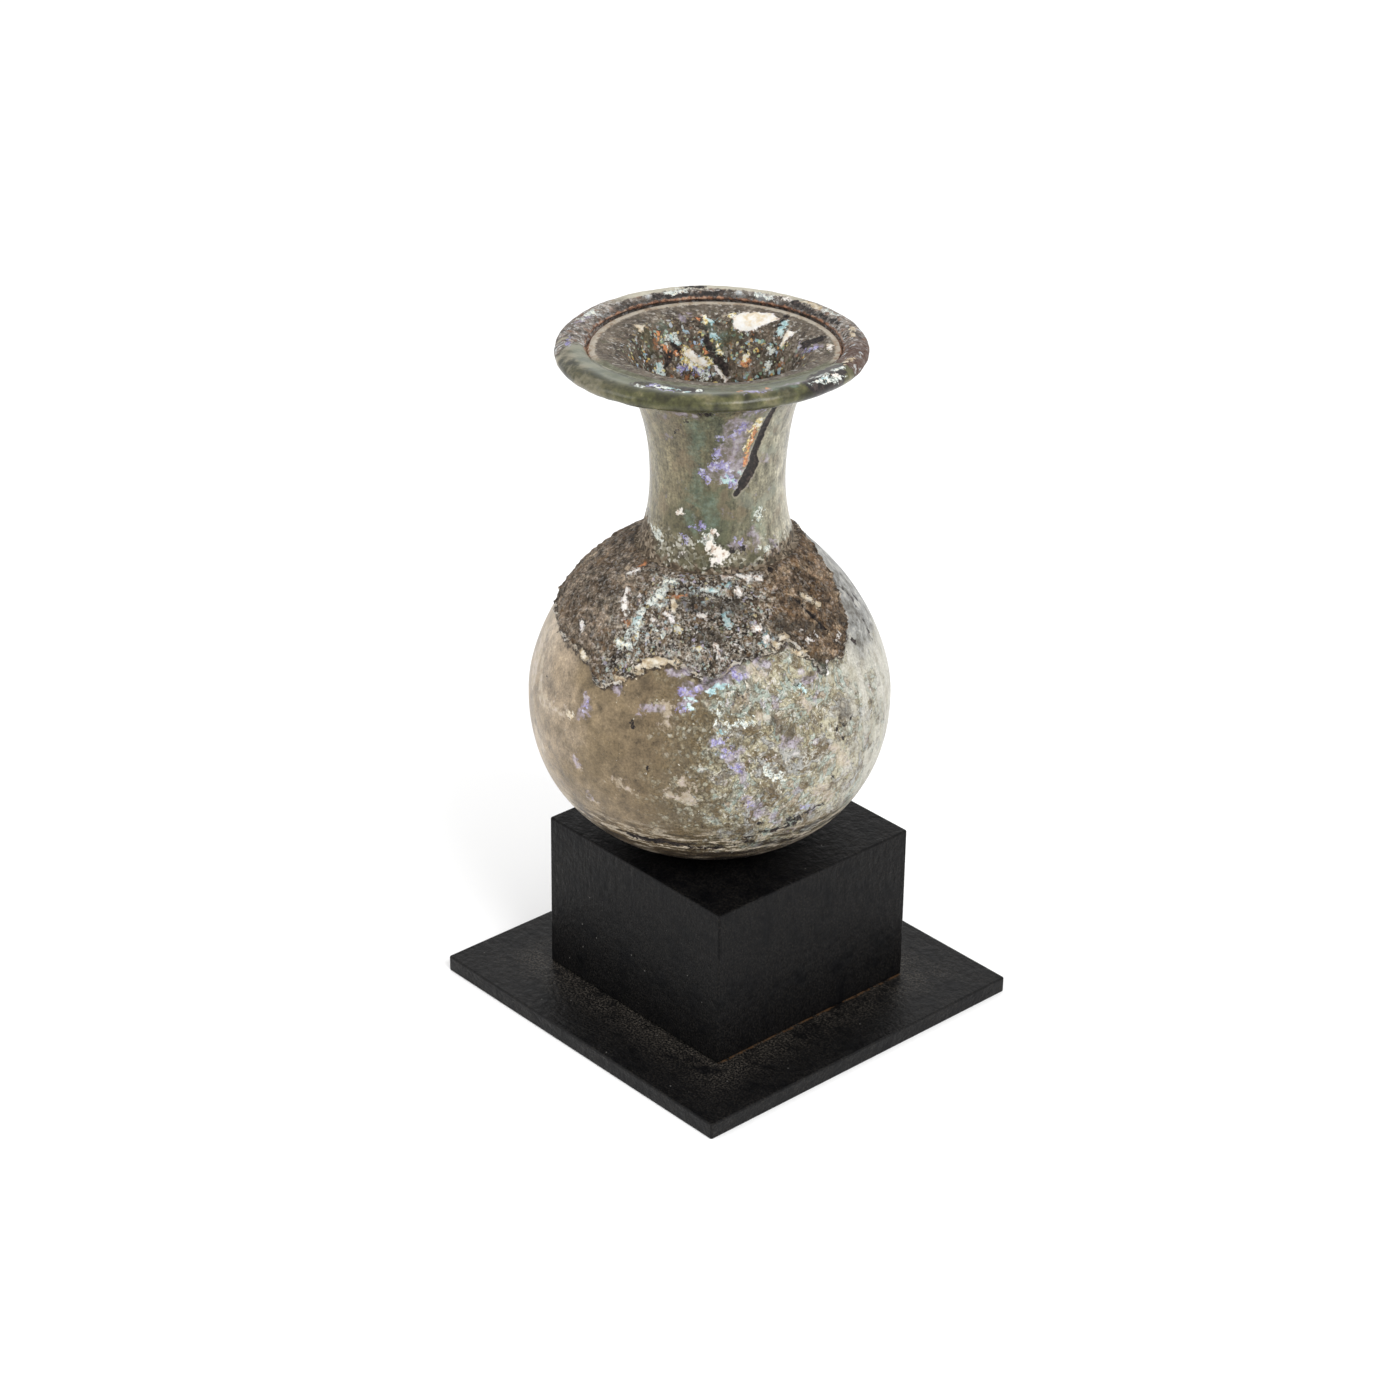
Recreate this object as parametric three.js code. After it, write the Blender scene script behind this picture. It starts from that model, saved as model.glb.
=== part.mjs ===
// A small free-blown glass bottle with a globular body, standing on a black square block and plate.
// Millimetres, +Z up, origin at the centre of the plate's underside.
import * as THREE from 'three';

// Stand
const plateSide = 76.2;
const plateThickness = 3.2;
const blockSide = 48;
const blockHeight = 31.9;
const cornerRound = 0.15;
const edgeRound = 0.3;

// Body, with heights measured from the top of the block
const bodyRadius = 33.6;
const bodyHeight = 60;
const widestHeight = 29.3;
const crownFullness = 1.73;
const bowlDepth = 30.2;
const bowlFullness = 2.25;
const bodyWall = 2.0;
const baseThickness = 3.2;
const footRingWidth = 2.4;
const footKick = 1.4;

// Neck, a waisted tube that widens into the mouth
const neckLength = 34.2;
const neckFootRadius = 14.7;
const neckWaistRadius = 12.4;
const neckTopRadius = 18.3;
const neckLowerPull = 0.15;
const neckUpperPull = 0.8;
const neckWall = 2.3;

// Rim, rolled outwards, up and inwards into a hollow-looking band
const rimRadius = 28;
const rimRise = 4.6;
const rollWidth = 5.2;
const rollHeight = 3.6;
const foldWidth = 5.4;
const foldDrop = 1.4;
const creviceDepth = 1.0;
const creviceUndercut = 0.7;
const lipDrop = 1.8;

// How far the hand-made form strays from one upright axis, and the side that shows best
const frontAzimuth = 47.8;
const bodyShift = -3.9;
const neckShift = -3.0;
const neckTopShift = -3.5;
const rimShift = -4.6;
const shiftBlend = 5;
const shoulderLean = [0, 0.3];
const rimLobes = [-0.09, -0.2];
const rimLean = [0.37, 0.33];
const rimTwist = [0.11, 0.12];

// Burial crust on the shoulder: the height of its lower border around the body
const crustThickness = 0.55;
const crustEdge = 1.2;
const crustLumps = 0.3;
const crustFade = 7;
const crustBorder = [
  [-180, 53], [-150, 49], [-120, 46.5], [-90, 46], [-65, 45], [-42, 41.4], [-26, 45], [-12, 47.4],
  [0, 45.2], [14, 48.5], [32, 50.2], [43, 43.6], [56, 45], [70, 50.5], [90, 56.5], [115, 60], [150, 58],
];

// Facets of the turned form
const facets = 56;
const bodyRows = 24;
const innerBodyRows = 13;
const neckRows = 11;
const innerNeckRows = 8;
const flareRows = 3;
const rollRows = 8;
const foldRows = 3;

const degree = Math.PI / 180;
const blockTop = plateThickness + blockHeight;
const neckTopHeight = bodyHeight + neckLength;
const rimTopHeight = neckTopHeight + rimRise;
const rollCentreRadius = rimRadius - rollWidth / 2;
const rollCentreHeight = rimTopHeight - rollHeight / 2;
const foldRadius = rimRadius - foldWidth;

// The crown meets the neck's foot at the top of the body
const crownShare = Math.pow(
  1 - Math.pow(neckFootRadius / bodyRadius, crownFullness), 1 / crownFullness,
);
const crownRise = (bodyHeight - widestHeight) / crownShare;

function roundedSquare(side, corner) {
  const half = side / 2;
  const reach = half - corner;
  const shape = new THREE.Shape();
  shape.moveTo(-reach, -half);
  shape.absarc(reach, -reach, corner, -Math.PI / 2, 0);
  shape.absarc(reach, reach, corner, 0, Math.PI / 2);
  shape.absarc(-reach, reach, corner, Math.PI / 2, Math.PI);
  shape.absarc(-reach, -reach, corner, Math.PI, 1.5 * Math.PI);
  return shape;
}

// A square slab from height 0 to its own height, with its upright and level edges eased
function slab(side, height) {
  return new THREE.ExtrudeGeometry(roundedSquare(side - 2 * edgeRound, cornerRound), {
    depth: height - 2 * edgeRound,
    bevelSize: edgeRound,
    bevelThickness: edgeRound,
    bevelSegments: 2,
    curveSegments: 4,
  }).translate(0, 0, edgeRound);
}

// The body's outline is a fuller curve below its widest height than above it
function bodyRadiusAt(height) {
  const below = height < widestHeight;
  const reach = below ? bowlDepth : crownRise;
  const fullness = below ? bowlFullness : crownFullness;
  const share = Math.abs(height - widestHeight) / reach;
  return bodyRadius * Math.pow(1 - Math.pow(share, fullness), 1 / fullness);
}

function bodyCurve() {
  const samples = 240;
  const points = [];
  for (let i = 0; i <= samples; i++) {
    const height = bodyHeight * i / samples;
    points.push(new THREE.Vector2(bodyRadiusAt(height), height));
  }
  return new THREE.SplineCurve(points);
}

function neckCurve() {
  const waistPull = (8 * neckWaistRadius - neckFootRadius - neckTopRadius) / 6;
  return new THREE.CubicBezierCurve(
    new THREE.Vector2(neckFootRadius, bodyHeight),
    new THREE.Vector2(waistPull, bodyHeight + neckLowerPull * neckLength),
    new THREE.Vector2(waistPull, bodyHeight + neckUpperPull * neckLength),
    new THREE.Vector2(neckTopRadius, neckTopHeight),
  );
}

// Points of a curve moved square to it, towards the hollow side
function insideOf(curve, rows, wall) {
  const points = [];
  for (let i = 0; i <= rows; i++) {
    const share = i / rows;
    const along = curve.getTangentAt(share);
    const point = curve.getPointAt(share);
    points.push(new THREE.Vector2(point.x - wall * along.y, point.y + wall * along.x));
  }
  return points;
}

function rowsOf(points, region) {
  return points.map((point) => ({ radius: point.x, height: point.y, region }));
}

function footRows() {
  const outer = bodyRadiusAt(0);
  const inner = outer - footRingWidth;
  return rowsOf([
    new THREE.Vector2(0, footKick),
    new THREE.Vector2(inner / 2, footKick * 0.8),
    new THREE.Vector2(inner, 0),
  ], 'body');
}

function flareAndRollRows() {
  const underside = new THREE.Vector2(rollCentreRadius, rollCentreHeight - rollHeight / 2);
  const flare = new THREE.QuadraticBezierCurve(
    new THREE.Vector2(neckTopRadius, neckTopHeight),
    new THREE.Vector2((neckTopRadius + rollCentreRadius) / 2, underside.y + 0.3),
    underside,
  );
  const roll = new THREE.EllipseCurve(
    rollCentreRadius, rollCentreHeight, rollWidth / 2, rollHeight / 2, -Math.PI / 2, Math.PI / 2,
  );
  const crest = new THREE.Vector2(rollCentreRadius, rimTopHeight);
  const foldEdge = new THREE.Vector2(foldRadius, rimTopHeight - foldDrop);
  const slope = new THREE.QuadraticBezierCurve(
    crest, new THREE.Vector2(foldRadius + rollWidth / 5, rimTopHeight - foldDrop / 6), foldEdge,
  );
  return rowsOf([
    ...flare.getSpacedPoints(flareRows).slice(1),
    ...roll.getSpacedPoints(rollRows).slice(1),
    ...slope.getSpacedPoints(foldRows).slice(1),
  ], 'rim');
}

// The open seam between the rolled rim and the wall of the mouth, down to the lip of the funnel
function creviceRows() {
  const lipHeight = rimTopHeight - lipDrop;
  return rowsOf([
    new THREE.Vector2(foldRadius + creviceUndercut, lipHeight - creviceDepth / 4),
    new THREE.Vector2(foldRadius + creviceUndercut / 2, lipHeight - creviceDepth * 0.6),
    new THREE.Vector2(foldRadius - creviceUndercut / 2, lipHeight),
  ], 'rim');
}

function innerRows() {
  const neck = insideOf(neckCurve(), innerNeckRows, neckWall).reverse();
  const body = insideOf(bodyCurve(), innerBodyRows, bodyWall).reverse();
  const lip = new THREE.Vector2(foldRadius - creviceUndercut / 2, rimTopHeight - lipDrop);
  const funnel = new THREE.QuadraticBezierCurve(
    lip, new THREE.Vector2((lip.x + neck[0].x) / 2, lip.y - 0.25), neck[0],
  );
  const bowl = body.filter((point) => point.y > baseThickness);
  const floor = [
    new THREE.Vector2(bodyRadiusAt(0) * 0.9, baseThickness + 0.3),
    new THREE.Vector2(bodyRadiusAt(0) * 0.45, baseThickness + footKick * 0.5),
    new THREE.Vector2(0, baseThickness + footKick * 0.8),
  ];
  return [
    ...rowsOf(funnel.getSpacedPoints(flareRows).slice(1, -1), 'rim'),
    ...rowsOf(neck, 'neck'),
    ...rowsOf([...bowl, ...floor], 'inside'),
  ];
}

function bottleRows() {
  return [
    ...footRows(),
    ...rowsOf(bodyCurve().getSpacedPoints(bodyRows), 'body'),
    ...rowsOf(neckCurve().getSpacedPoints(neckRows).slice(1), 'neck'),
    ...flareAndRollRows(),
    ...creviceRows(),
    ...innerRows(),
  ];
}

function borderHeight(bearing) {
  const count = crustBorder.length;
  for (let i = 0; i < count; i++) {
    const [fromBearing, fromHeight] = crustBorder[i];
    const [nextBearing, toHeight] = crustBorder[(i + 1) % count];
    const toBearing = nextBearing > fromBearing ? nextBearing : nextBearing + 360;
    if (bearing >= fromBearing && bearing < toBearing) {
      return THREE.MathUtils.lerp(fromHeight, toHeight, (bearing - fromBearing) / (toBearing - fromBearing));
    }
  }
  return crustBorder[0][1];
}

// Depth of crust over the glass, lumpy, thin at its border and gone at the neck's foot
function crustDepth(row, bearing) {
  if (row.region !== 'body' || row.height < widestHeight) return 0;
  const above = (row.height - borderHeight(bearing)) / crustEdge;
  const lumps = Math.sin(bearing * 0.21) * Math.sin(row.height * 0.9 + bearing * 0.05);
  const full = THREE.MathUtils.smoothstep(above, -0.5, 0.5);
  const nearNeck = THREE.MathUtils.smoothstep(bodyHeight - row.height, 0, crustFade);
  return full * nearNeck * (crustThickness + crustLumps * lumps);
}

// Wave of the given turns around the axis, from its cosine and sine amounts
function wave([cosine, sine], turns, bearing) {
  return cosine * Math.cos(turns * bearing * degree) + sine * Math.sin(turns * bearing * degree);
}

// The sideways shift of the body, the neck and the rim, along the view's level direction
function shiftAt(row, rimShare) {
  const neckShare = THREE.MathUtils.smoothstep(row.height, bodyHeight - shiftBlend, bodyHeight);
  const topShare = THREE.MathUtils.smoothstep(row.height, bodyHeight + neckLength / 2, neckTopHeight);
  const footShift = THREE.MathUtils.lerp(bodyShift, neckShift, neckShare);
  const tubeShift = THREE.MathUtils.lerp(footShift, neckTopShift, topShare);
  return THREE.MathUtils.lerp(tubeShift, rimShift, rimShare);
}

// The shoulder leans from half-way up the crown to the neck's foot, and the neck's wall evens it out
function shoulderShare(row) {
  const crownMiddle = (widestHeight + bodyHeight) / 2;
  const rise = THREE.MathUtils.smoothstep(row.height, crownMiddle, bodyHeight);
  const fall = THREE.MathUtils.smoothstep(row.height, bodyHeight, bodyHeight + neckLength / 2);
  return rise - fall;
}

function placeOnBottle(row, azimuth) {
  const bearing = THREE.MathUtils.euclideanModulo(azimuth - frontAzimuth + 180, 360) - 180;
  const spread = (row.radius - neckTopRadius) / (rimRadius - neckTopRadius);
  const aboveNeck = row.region === 'rim' || row.region === 'neck';
  const rimShare = aboveNeck ? THREE.MathUtils.clamp(spread, 0, 1) : 0;
  const depth = crustDepth(row, bearing);
  const radius = row.radius + Math.SQRT1_2 * depth + rimShare * wave(rimLobes, 3, bearing);
  const lean = shoulderShare(row) * wave(shoulderLean, 1, bearing);
  const height = row.height + Math.SQRT1_2 * depth + lean
    + rimShare * (wave(rimLean, 1, bearing) + wave(rimTwist, 2, bearing));
  const shift = shiftAt(row, rimShare);
  return new THREE.Vector3(
    radius * Math.sin(azimuth * degree) + shift * Math.cos(frontAzimuth * degree),
    -radius * Math.cos(azimuth * degree) + shift * Math.sin(frontAzimuth * degree),
    height,
  );
}

function bottleGeometry() {
  const rows = bottleRows();
  const outline = rows.map((row) => new THREE.Vector2(row.radius, row.height));
  const geometry = new THREE.LatheGeometry(outline, facets);
  const position = geometry.attributes.position;
  for (let i = 0; i < position.count; i++) {
    const row = rows[i % rows.length];
    const azimuth = 360 * (Math.floor(i / rows.length) % facets) / facets;
    const place = placeOnBottle(row, azimuth);
    position.setXYZ(i, place.x, place.y, place.z);
  }
  geometry.computeVertexNormals();
  return geometry;
}

const blackPaint = new THREE.MeshStandardMaterial({ color: 0x121214, roughness: 0.5, metalness: 0 });
const weatheredGlass = new THREE.MeshStandardMaterial({ color: 0x9a9a80, roughness: 0.45, metalness: 0 });

function sub(name, geometry, material, height) {
  const mesh = new THREE.Mesh(geometry, material);
  mesh.name = name;
  mesh.position.z = height;
  return mesh;
}

const object = new THREE.Group();
object.add(
  sub('stand_plate', slab(plateSide, plateThickness), blackPaint, 0),
  sub('stand_block', slab(blockSide, blockHeight), blackPaint, plateThickness),
  sub('bottle', bottleGeometry(), weatheredGlass, blockTop),
);

export default object;
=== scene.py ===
"""A small free-blown glass bottle with burial crust and iridescence, on a black block and plate."""
import math
import bpy
import numpy as np
from mathutils import Matrix, Vector, noise


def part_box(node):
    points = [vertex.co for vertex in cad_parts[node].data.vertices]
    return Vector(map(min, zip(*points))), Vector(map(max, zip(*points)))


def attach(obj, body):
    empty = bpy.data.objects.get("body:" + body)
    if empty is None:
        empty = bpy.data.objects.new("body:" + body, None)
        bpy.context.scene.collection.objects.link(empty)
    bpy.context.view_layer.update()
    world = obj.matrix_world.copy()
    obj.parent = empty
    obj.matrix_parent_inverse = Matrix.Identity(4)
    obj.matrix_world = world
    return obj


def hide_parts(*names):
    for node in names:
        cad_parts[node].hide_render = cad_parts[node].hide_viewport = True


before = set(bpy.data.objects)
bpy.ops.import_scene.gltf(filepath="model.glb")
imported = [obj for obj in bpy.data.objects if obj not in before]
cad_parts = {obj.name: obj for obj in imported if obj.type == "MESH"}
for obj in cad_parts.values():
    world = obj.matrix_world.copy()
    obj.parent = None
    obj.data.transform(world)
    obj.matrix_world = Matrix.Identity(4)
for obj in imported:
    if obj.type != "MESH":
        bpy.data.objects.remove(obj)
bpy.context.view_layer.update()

MM = 0.001
STUDIO_LIGHT = 1.3
GLASS_DIMMING = (0.84, 0.83, 0.80, 1.0)
BLOCK_DUST = 0.12
PAPER = (0.95, 0.95, 0.95, 1.0)
FLOOR_SIZE = 6.0
LIGHT_AIM = (0.0, 0.0, 0.07)

# Camera, fitted to the corners of the stand in the photograph
CAMERA_PLACE = (0.433571, -0.401363, 0.375406)
CAMERA_TURN = 47.758
CAMERA_DIP = 27.981
CAMERA_ROLL = 0.7315
LENS = 92.45
SENSOR_WIDTH = 36.0

# Bottle, in millimetres, with heights measured from the top of the block
BODY_RADIUS = 33.6
BODY_HEIGHT = 60.0
WIDEST_HEIGHT = 29.3
CROWN_FULLNESS = 1.73
BOWL_DEPTH = 30.2
BOWL_FULLNESS = 2.25
BODY_WALL = 2.0
BASE_THICKNESS = 3.2
FOOT_RING_WIDTH = 2.4
FOOT_KICK = 1.4
NECK_LENGTH = 34.2
NECK_FOOT_RADIUS = 14.7
NECK_WAIST_RADIUS = 12.4
NECK_TOP_RADIUS = 18.3
NECK_LOWER_PULL = 0.15
NECK_UPPER_PULL = 0.8
NECK_WALL = 2.3
RIM_RADIUS = 28.0
RIM_RISE = 4.6
ROLL_WIDTH = 5.2
ROLL_HEIGHT = 3.6
FOLD_WIDTH = 5.4
FOLD_DROP = 1.4
CREVICE_DEPTH = 1.0
CREVICE_UNDERCUT = 0.7
LIP_DROP = 1.8
NECK_TOP_HEIGHT = BODY_HEIGHT + NECK_LENGTH
RIM_TOP_HEIGHT = NECK_TOP_HEIGHT + RIM_RISE
FOLD_RADIUS = RIM_RADIUS - FOLD_WIDTH
FRONT_LIP_DROP = 0.2
FRONT_FADE = (0.05, 0.8)
ROLL_FLANK = (2.9, 2.5)
SLOPE_FOOT = 0.6
LIP_FADE = 9.0

# How the hand-made form strays from one upright axis, by bearing from its front
FRONT = 47.8
BODY_SHIFT = -3.9
NECK_SHIFT = -3.0
NECK_TOP_SHIFT = -3.5
RIM_SHIFT = -4.6
SHIFT_BLEND = 5.0
SHOULDER_LEAN = (0.0, 0.3)
RIM_LOBES = (-0.09, -0.2)
RIM_LEAN = (0.37, 0.33)
RIM_TWIST = (0.11, 0.12)

# Fineness of the turned mesh
TURN_STEPS = 300
BOWL_STEP = 0.95
CROWN_STEP = 0.34
CROWN_START = 38.0
FOOT_STEP = 2.5
NECK_STEP = 0.72
RIM_STEP = 0.42
MOUTH_STEP = 0.8
HOLLOW_STEP = 4.0

# Relief on the bottle, in millimetres
SOFT_RISE = 0.1
GASH_DEPTH = 0.35
CREASE_DEPTH = 0.55
CREASE_WIDTH = 0.5
CRACK_DEPTH = 0.2
FLAKE_RISE = 0.12
OFF_MARK = -9.0

# Burial crust, in millimetres, its border by bearing and height
CRUST_EDGE_RISE = 0.22
CRUST_THICKNESS = 0.5
CRUST_FADE = 7.0
CRUST_BORDER = (
    (-130, 47.5), (-110, 44), (-100, 46.5), (-90, 45.8), (-74, 45.7), (-65, 44.8), (-60, 45.2),
    (-53, 44.4), (-47, 43.8), (-43, 41.7), (-38, 41.3), (-33, 42.6), (-30, 44), (-26, 45.2),
    (-23, 46.4), (-17, 47.2), (-9.5, 47.2), (-6, 46.1), (-1, 45.2), (5, 46.1), (8.5, 47.5),
    (13, 48.5), (20, 48.5), (27, 49), (32, 50.1), (35, 48.8), (38, 47), (41, 45.2), (43, 43.6),
    (47, 45.2), (54, 44.4), (58, 45.9), (62, 46.7), (68.5, 49), (72, 51.7), (79, 53.5),
    (89, 56.6), (100, 59), (125, 58.5), (150, 54), (170, 50), (190, 48), (210, 46), (230, 47.5),
)

RADIUS, HEIGHT = range(2)
BODY, NECK, RIM, MOUTH, HOLLOW = range(5)
BLOCK_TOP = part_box("stand_block")[1][2] / MM


def smooth(value, low, high):
    share = np.clip((value - low) / (high - low), 0.0, 1.0)
    return share * share * (3.0 - 2.0 * share)


def bezier(points, count=60):
    """Points along a quadratic or cubic curve."""
    share = np.linspace(0.0, 1.0, count)[:, None]
    layers = [np.array(point, dtype=float)[None, :] for point in points]
    while len(layers) > 1:
        layers = [a + (b - a) * share for a, b in zip(layers, layers[1:])]
    return layers[0]


def evened(points, step):
    """The same line with points at even steps along it."""
    points = np.asarray(points, dtype=float)
    travel = np.concatenate([[0.0], np.cumsum(np.hypot(*np.diff(points, axis=0).T))])
    count = max(2, round(travel[-1] / step) + 1)
    at = np.linspace(0.0, travel[-1], count)
    return np.column_stack([np.interp(at, travel, points[:, 0]), np.interp(at, travel, points[:, 1])])


def body_radius_at(height):
    crown_share = (1 - (NECK_FOOT_RADIUS / BODY_RADIUS) ** CROWN_FULLNESS) ** (1 / CROWN_FULLNESS)
    crown_rise = (BODY_HEIGHT - WIDEST_HEIGHT) / crown_share
    below = height < WIDEST_HEIGHT
    reach = np.where(below, BOWL_DEPTH, crown_rise)
    fullness = np.where(below, BOWL_FULLNESS, CROWN_FULLNESS)
    share = np.abs(height - WIDEST_HEIGHT) / reach
    return BODY_RADIUS * np.power(1 - np.power(share, fullness), 1 / fullness)


def body_line(low, high):
    height = np.linspace(low, high, 400)
    return np.column_stack([body_radius_at(height), height])


def neck_line():
    waist_pull = (8 * NECK_WAIST_RADIUS - NECK_FOOT_RADIUS - NECK_TOP_RADIUS) / 6
    return bezier([
        (NECK_FOOT_RADIUS, BODY_HEIGHT),
        (waist_pull, BODY_HEIGHT + NECK_LOWER_PULL * NECK_LENGTH),
        (waist_pull, BODY_HEIGHT + NECK_UPPER_PULL * NECK_LENGTH),
        (NECK_TOP_RADIUS, NECK_TOP_HEIGHT),
    ], 120)


def rim_line():
    """Under the flare, round the roll, down the inner slope and into the seam below it."""
    centre_radius = RIM_RADIUS - ROLL_WIDTH / 2
    centre_height = RIM_TOP_HEIGHT - ROLL_HEIGHT / 2
    underside = centre_height - ROLL_HEIGHT / 2
    flare = bezier([
        (NECK_TOP_RADIUS, NECK_TOP_HEIGHT),
        ((NECK_TOP_RADIUS + centre_radius) / 2, underside + 0.3),
        (centre_radius, underside),
    ])
    turn = np.linspace(-math.pi / 2, math.pi / 2, 60)
    roll = np.column_stack([
        centre_radius + ROLL_WIDTH / 2 * np.cos(turn),
        centre_height + ROLL_HEIGHT / 2 * np.sin(turn),
    ])
    slope = bezier([
        (centre_radius, RIM_TOP_HEIGHT),
        (FOLD_RADIUS + ROLL_WIDTH / 5, RIM_TOP_HEIGHT - FOLD_DROP / 6),
        (FOLD_RADIUS, RIM_TOP_HEIGHT - FOLD_DROP),
    ])
    lip_height = RIM_TOP_HEIGHT - LIP_DROP
    seam = [
        (FOLD_RADIUS + CREVICE_UNDERCUT, lip_height - CREVICE_DEPTH / 4),
        (FOLD_RADIUS + CREVICE_UNDERCUT / 2, lip_height - CREVICE_DEPTH * 0.6),
        (FOLD_RADIUS - CREVICE_UNDERCUT / 2, lip_height),
    ]
    return np.vstack([flare[1:], roll[1:], slope[1:], seam])


def inside_of(points, wall):
    """A line moved square to itself, towards the hollow side."""
    along = np.gradient(points, axis=0)
    along /= np.hypot(along[:, 0], along[:, 1])[:, None]
    return np.column_stack([points[:, 0] - wall * along[:, 1], points[:, 1] + wall * along[:, 0]])


def bottle_outline():
    """The turned outline from the foot, up the outside, over the rim and down the inside."""
    foot_radius = float(body_radius_at(np.array(0.0)))
    foot = evened([(0.0, FOOT_KICK), (foot_radius / 2, FOOT_KICK * 0.8),
                   (foot_radius - FOOT_RING_WIDTH, 0.0), (foot_radius, 0.0)], FOOT_STEP)
    bowl = evened(body_line(0.0, CROWN_START), BOWL_STEP)
    crown = evened(body_line(CROWN_START, BODY_HEIGHT), CROWN_STEP)
    neck = evened(neck_line(), NECK_STEP)
    rim = evened(rim_line(), RIM_STEP)
    inner_neck = inside_of(neck_line(), NECK_WALL)[::-1]
    lip = rim[-1]
    funnel = bezier([lip, ((lip[0] + inner_neck[0][0]) / 2, lip[1] - 0.25), inner_neck[0]])
    mouth = evened(np.vstack([funnel, inner_neck[1:]]), MOUTH_STEP)
    inner_body = inside_of(body_line(0.0, BODY_HEIGHT), BODY_WALL)[::-1]
    inner_body = inner_body[inner_body[:, 1] > BASE_THICKNESS]
    floor = [(foot_radius * 0.9, BASE_THICKNESS + 0.3),
             (foot_radius * 0.45, BASE_THICKNESS + FOOT_KICK * 0.5),
             (0.0, BASE_THICKNESS + FOOT_KICK * 0.8)]
    hollow = evened(np.vstack([inner_body, floor]), HOLLOW_STEP)
    stretches = [(foot[:-1], BODY), (bowl[:-1], BODY), (crown[:-1], BODY), (neck, NECK),
                 (rim[1:], RIM), (mouth[1:], MOUTH), (hollow, HOLLOW)]
    points = np.vstack([line for line, region in stretches])
    regions = np.concatenate([np.full(len(line), region) for line, region in stretches])
    return points, regions


def outward(points):
    """Unit directions out of the glass at each point of the outline."""
    along = np.gradient(points, axis=0)
    along /= np.maximum(np.hypot(along[:, 0], along[:, 1]), 1e-9)[:, None]
    return np.column_stack([along[:, 1], -along[:, 0]])


def wave(amounts, turns, bearing):
    angle = np.radians(turns * bearing)
    return amounts[0] * np.cos(angle) + amounts[1] * np.sin(angle)


def placed(radius, height, region, bearing):
    """Where a point of the turned form lies, in the stand's frame."""
    rim_share = np.clip((radius - NECK_TOP_RADIUS) / (RIM_RADIUS - NECK_TOP_RADIUS), 0.0, 1.0)
    rim_share = np.where((region == BODY) | (region == HOLLOW), 0.0, rim_share)
    middle = (WIDEST_HEIGHT + BODY_HEIGHT) / 2
    neck_middle = BODY_HEIGHT + NECK_LENGTH / 2
    shoulder = smooth(height, middle, BODY_HEIGHT) - smooth(height, BODY_HEIGHT, neck_middle)
    neck_share = smooth(height, BODY_HEIGHT - SHIFT_BLEND, BODY_HEIGHT)
    top_share = smooth(height, neck_middle, NECK_TOP_HEIGHT)
    shift = BODY_SHIFT + (NECK_SHIFT - BODY_SHIFT) * neck_share
    shift = shift + (NECK_TOP_SHIFT - shift) * top_share
    shift = shift + (RIM_SHIFT - shift) * rim_share
    out = radius + rim_share * wave(RIM_LOBES, 3, bearing)
    up = height + shoulder * wave(SHOULDER_LEAN, 1, bearing)
    up = up + rim_share * (wave(RIM_LEAN, 1, bearing) + wave(RIM_TWIST, 2, bearing))

    # In front the lip of the mouth stands nearly level with the rim's crest
    frontal = smooth(np.cos(np.radians(bearing)), *FRONT_FADE)
    crest = RIM_RADIUS - ROLL_WIDTH / 2
    upper_side = smooth(height, RIM_TOP_HEIGHT - ROLL_FLANK[0], RIM_TOP_HEIGHT - ROLL_FLANK[1])
    inward = smooth(-radius, -crest, -FOLD_RADIUS - SLOPE_FOOT)
    on_slope = np.where(region == RIM, upper_side * inward, 0.0)
    below_lip = smooth(height, RIM_TOP_HEIGHT - LIP_DROP - LIP_FADE, RIM_TOP_HEIGHT - LIP_DROP)
    in_mouth = np.where(region == MOUTH, below_lip, 0.0)
    up = up + frontal * on_slope * (RIM_TOP_HEIGHT - FRONT_LIP_DROP - height)
    up = up + frontal * in_mouth * (LIP_DROP - FRONT_LIP_DROP)
    azimuth = np.radians(bearing + FRONT)
    front = math.radians(FRONT)
    return np.column_stack([
        out * np.sin(azimuth) + shift * math.cos(front),
        -out * np.cos(azimuth) + shift * math.sin(front),
        up + BLOCK_TOP,
    ])


def clear_selection():
    if bpy.context.object and bpy.context.object.mode != 'OBJECT':
        bpy.ops.object.mode_set(mode='OBJECT')
    bpy.ops.object.select_all(action='DESELECT')


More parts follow.
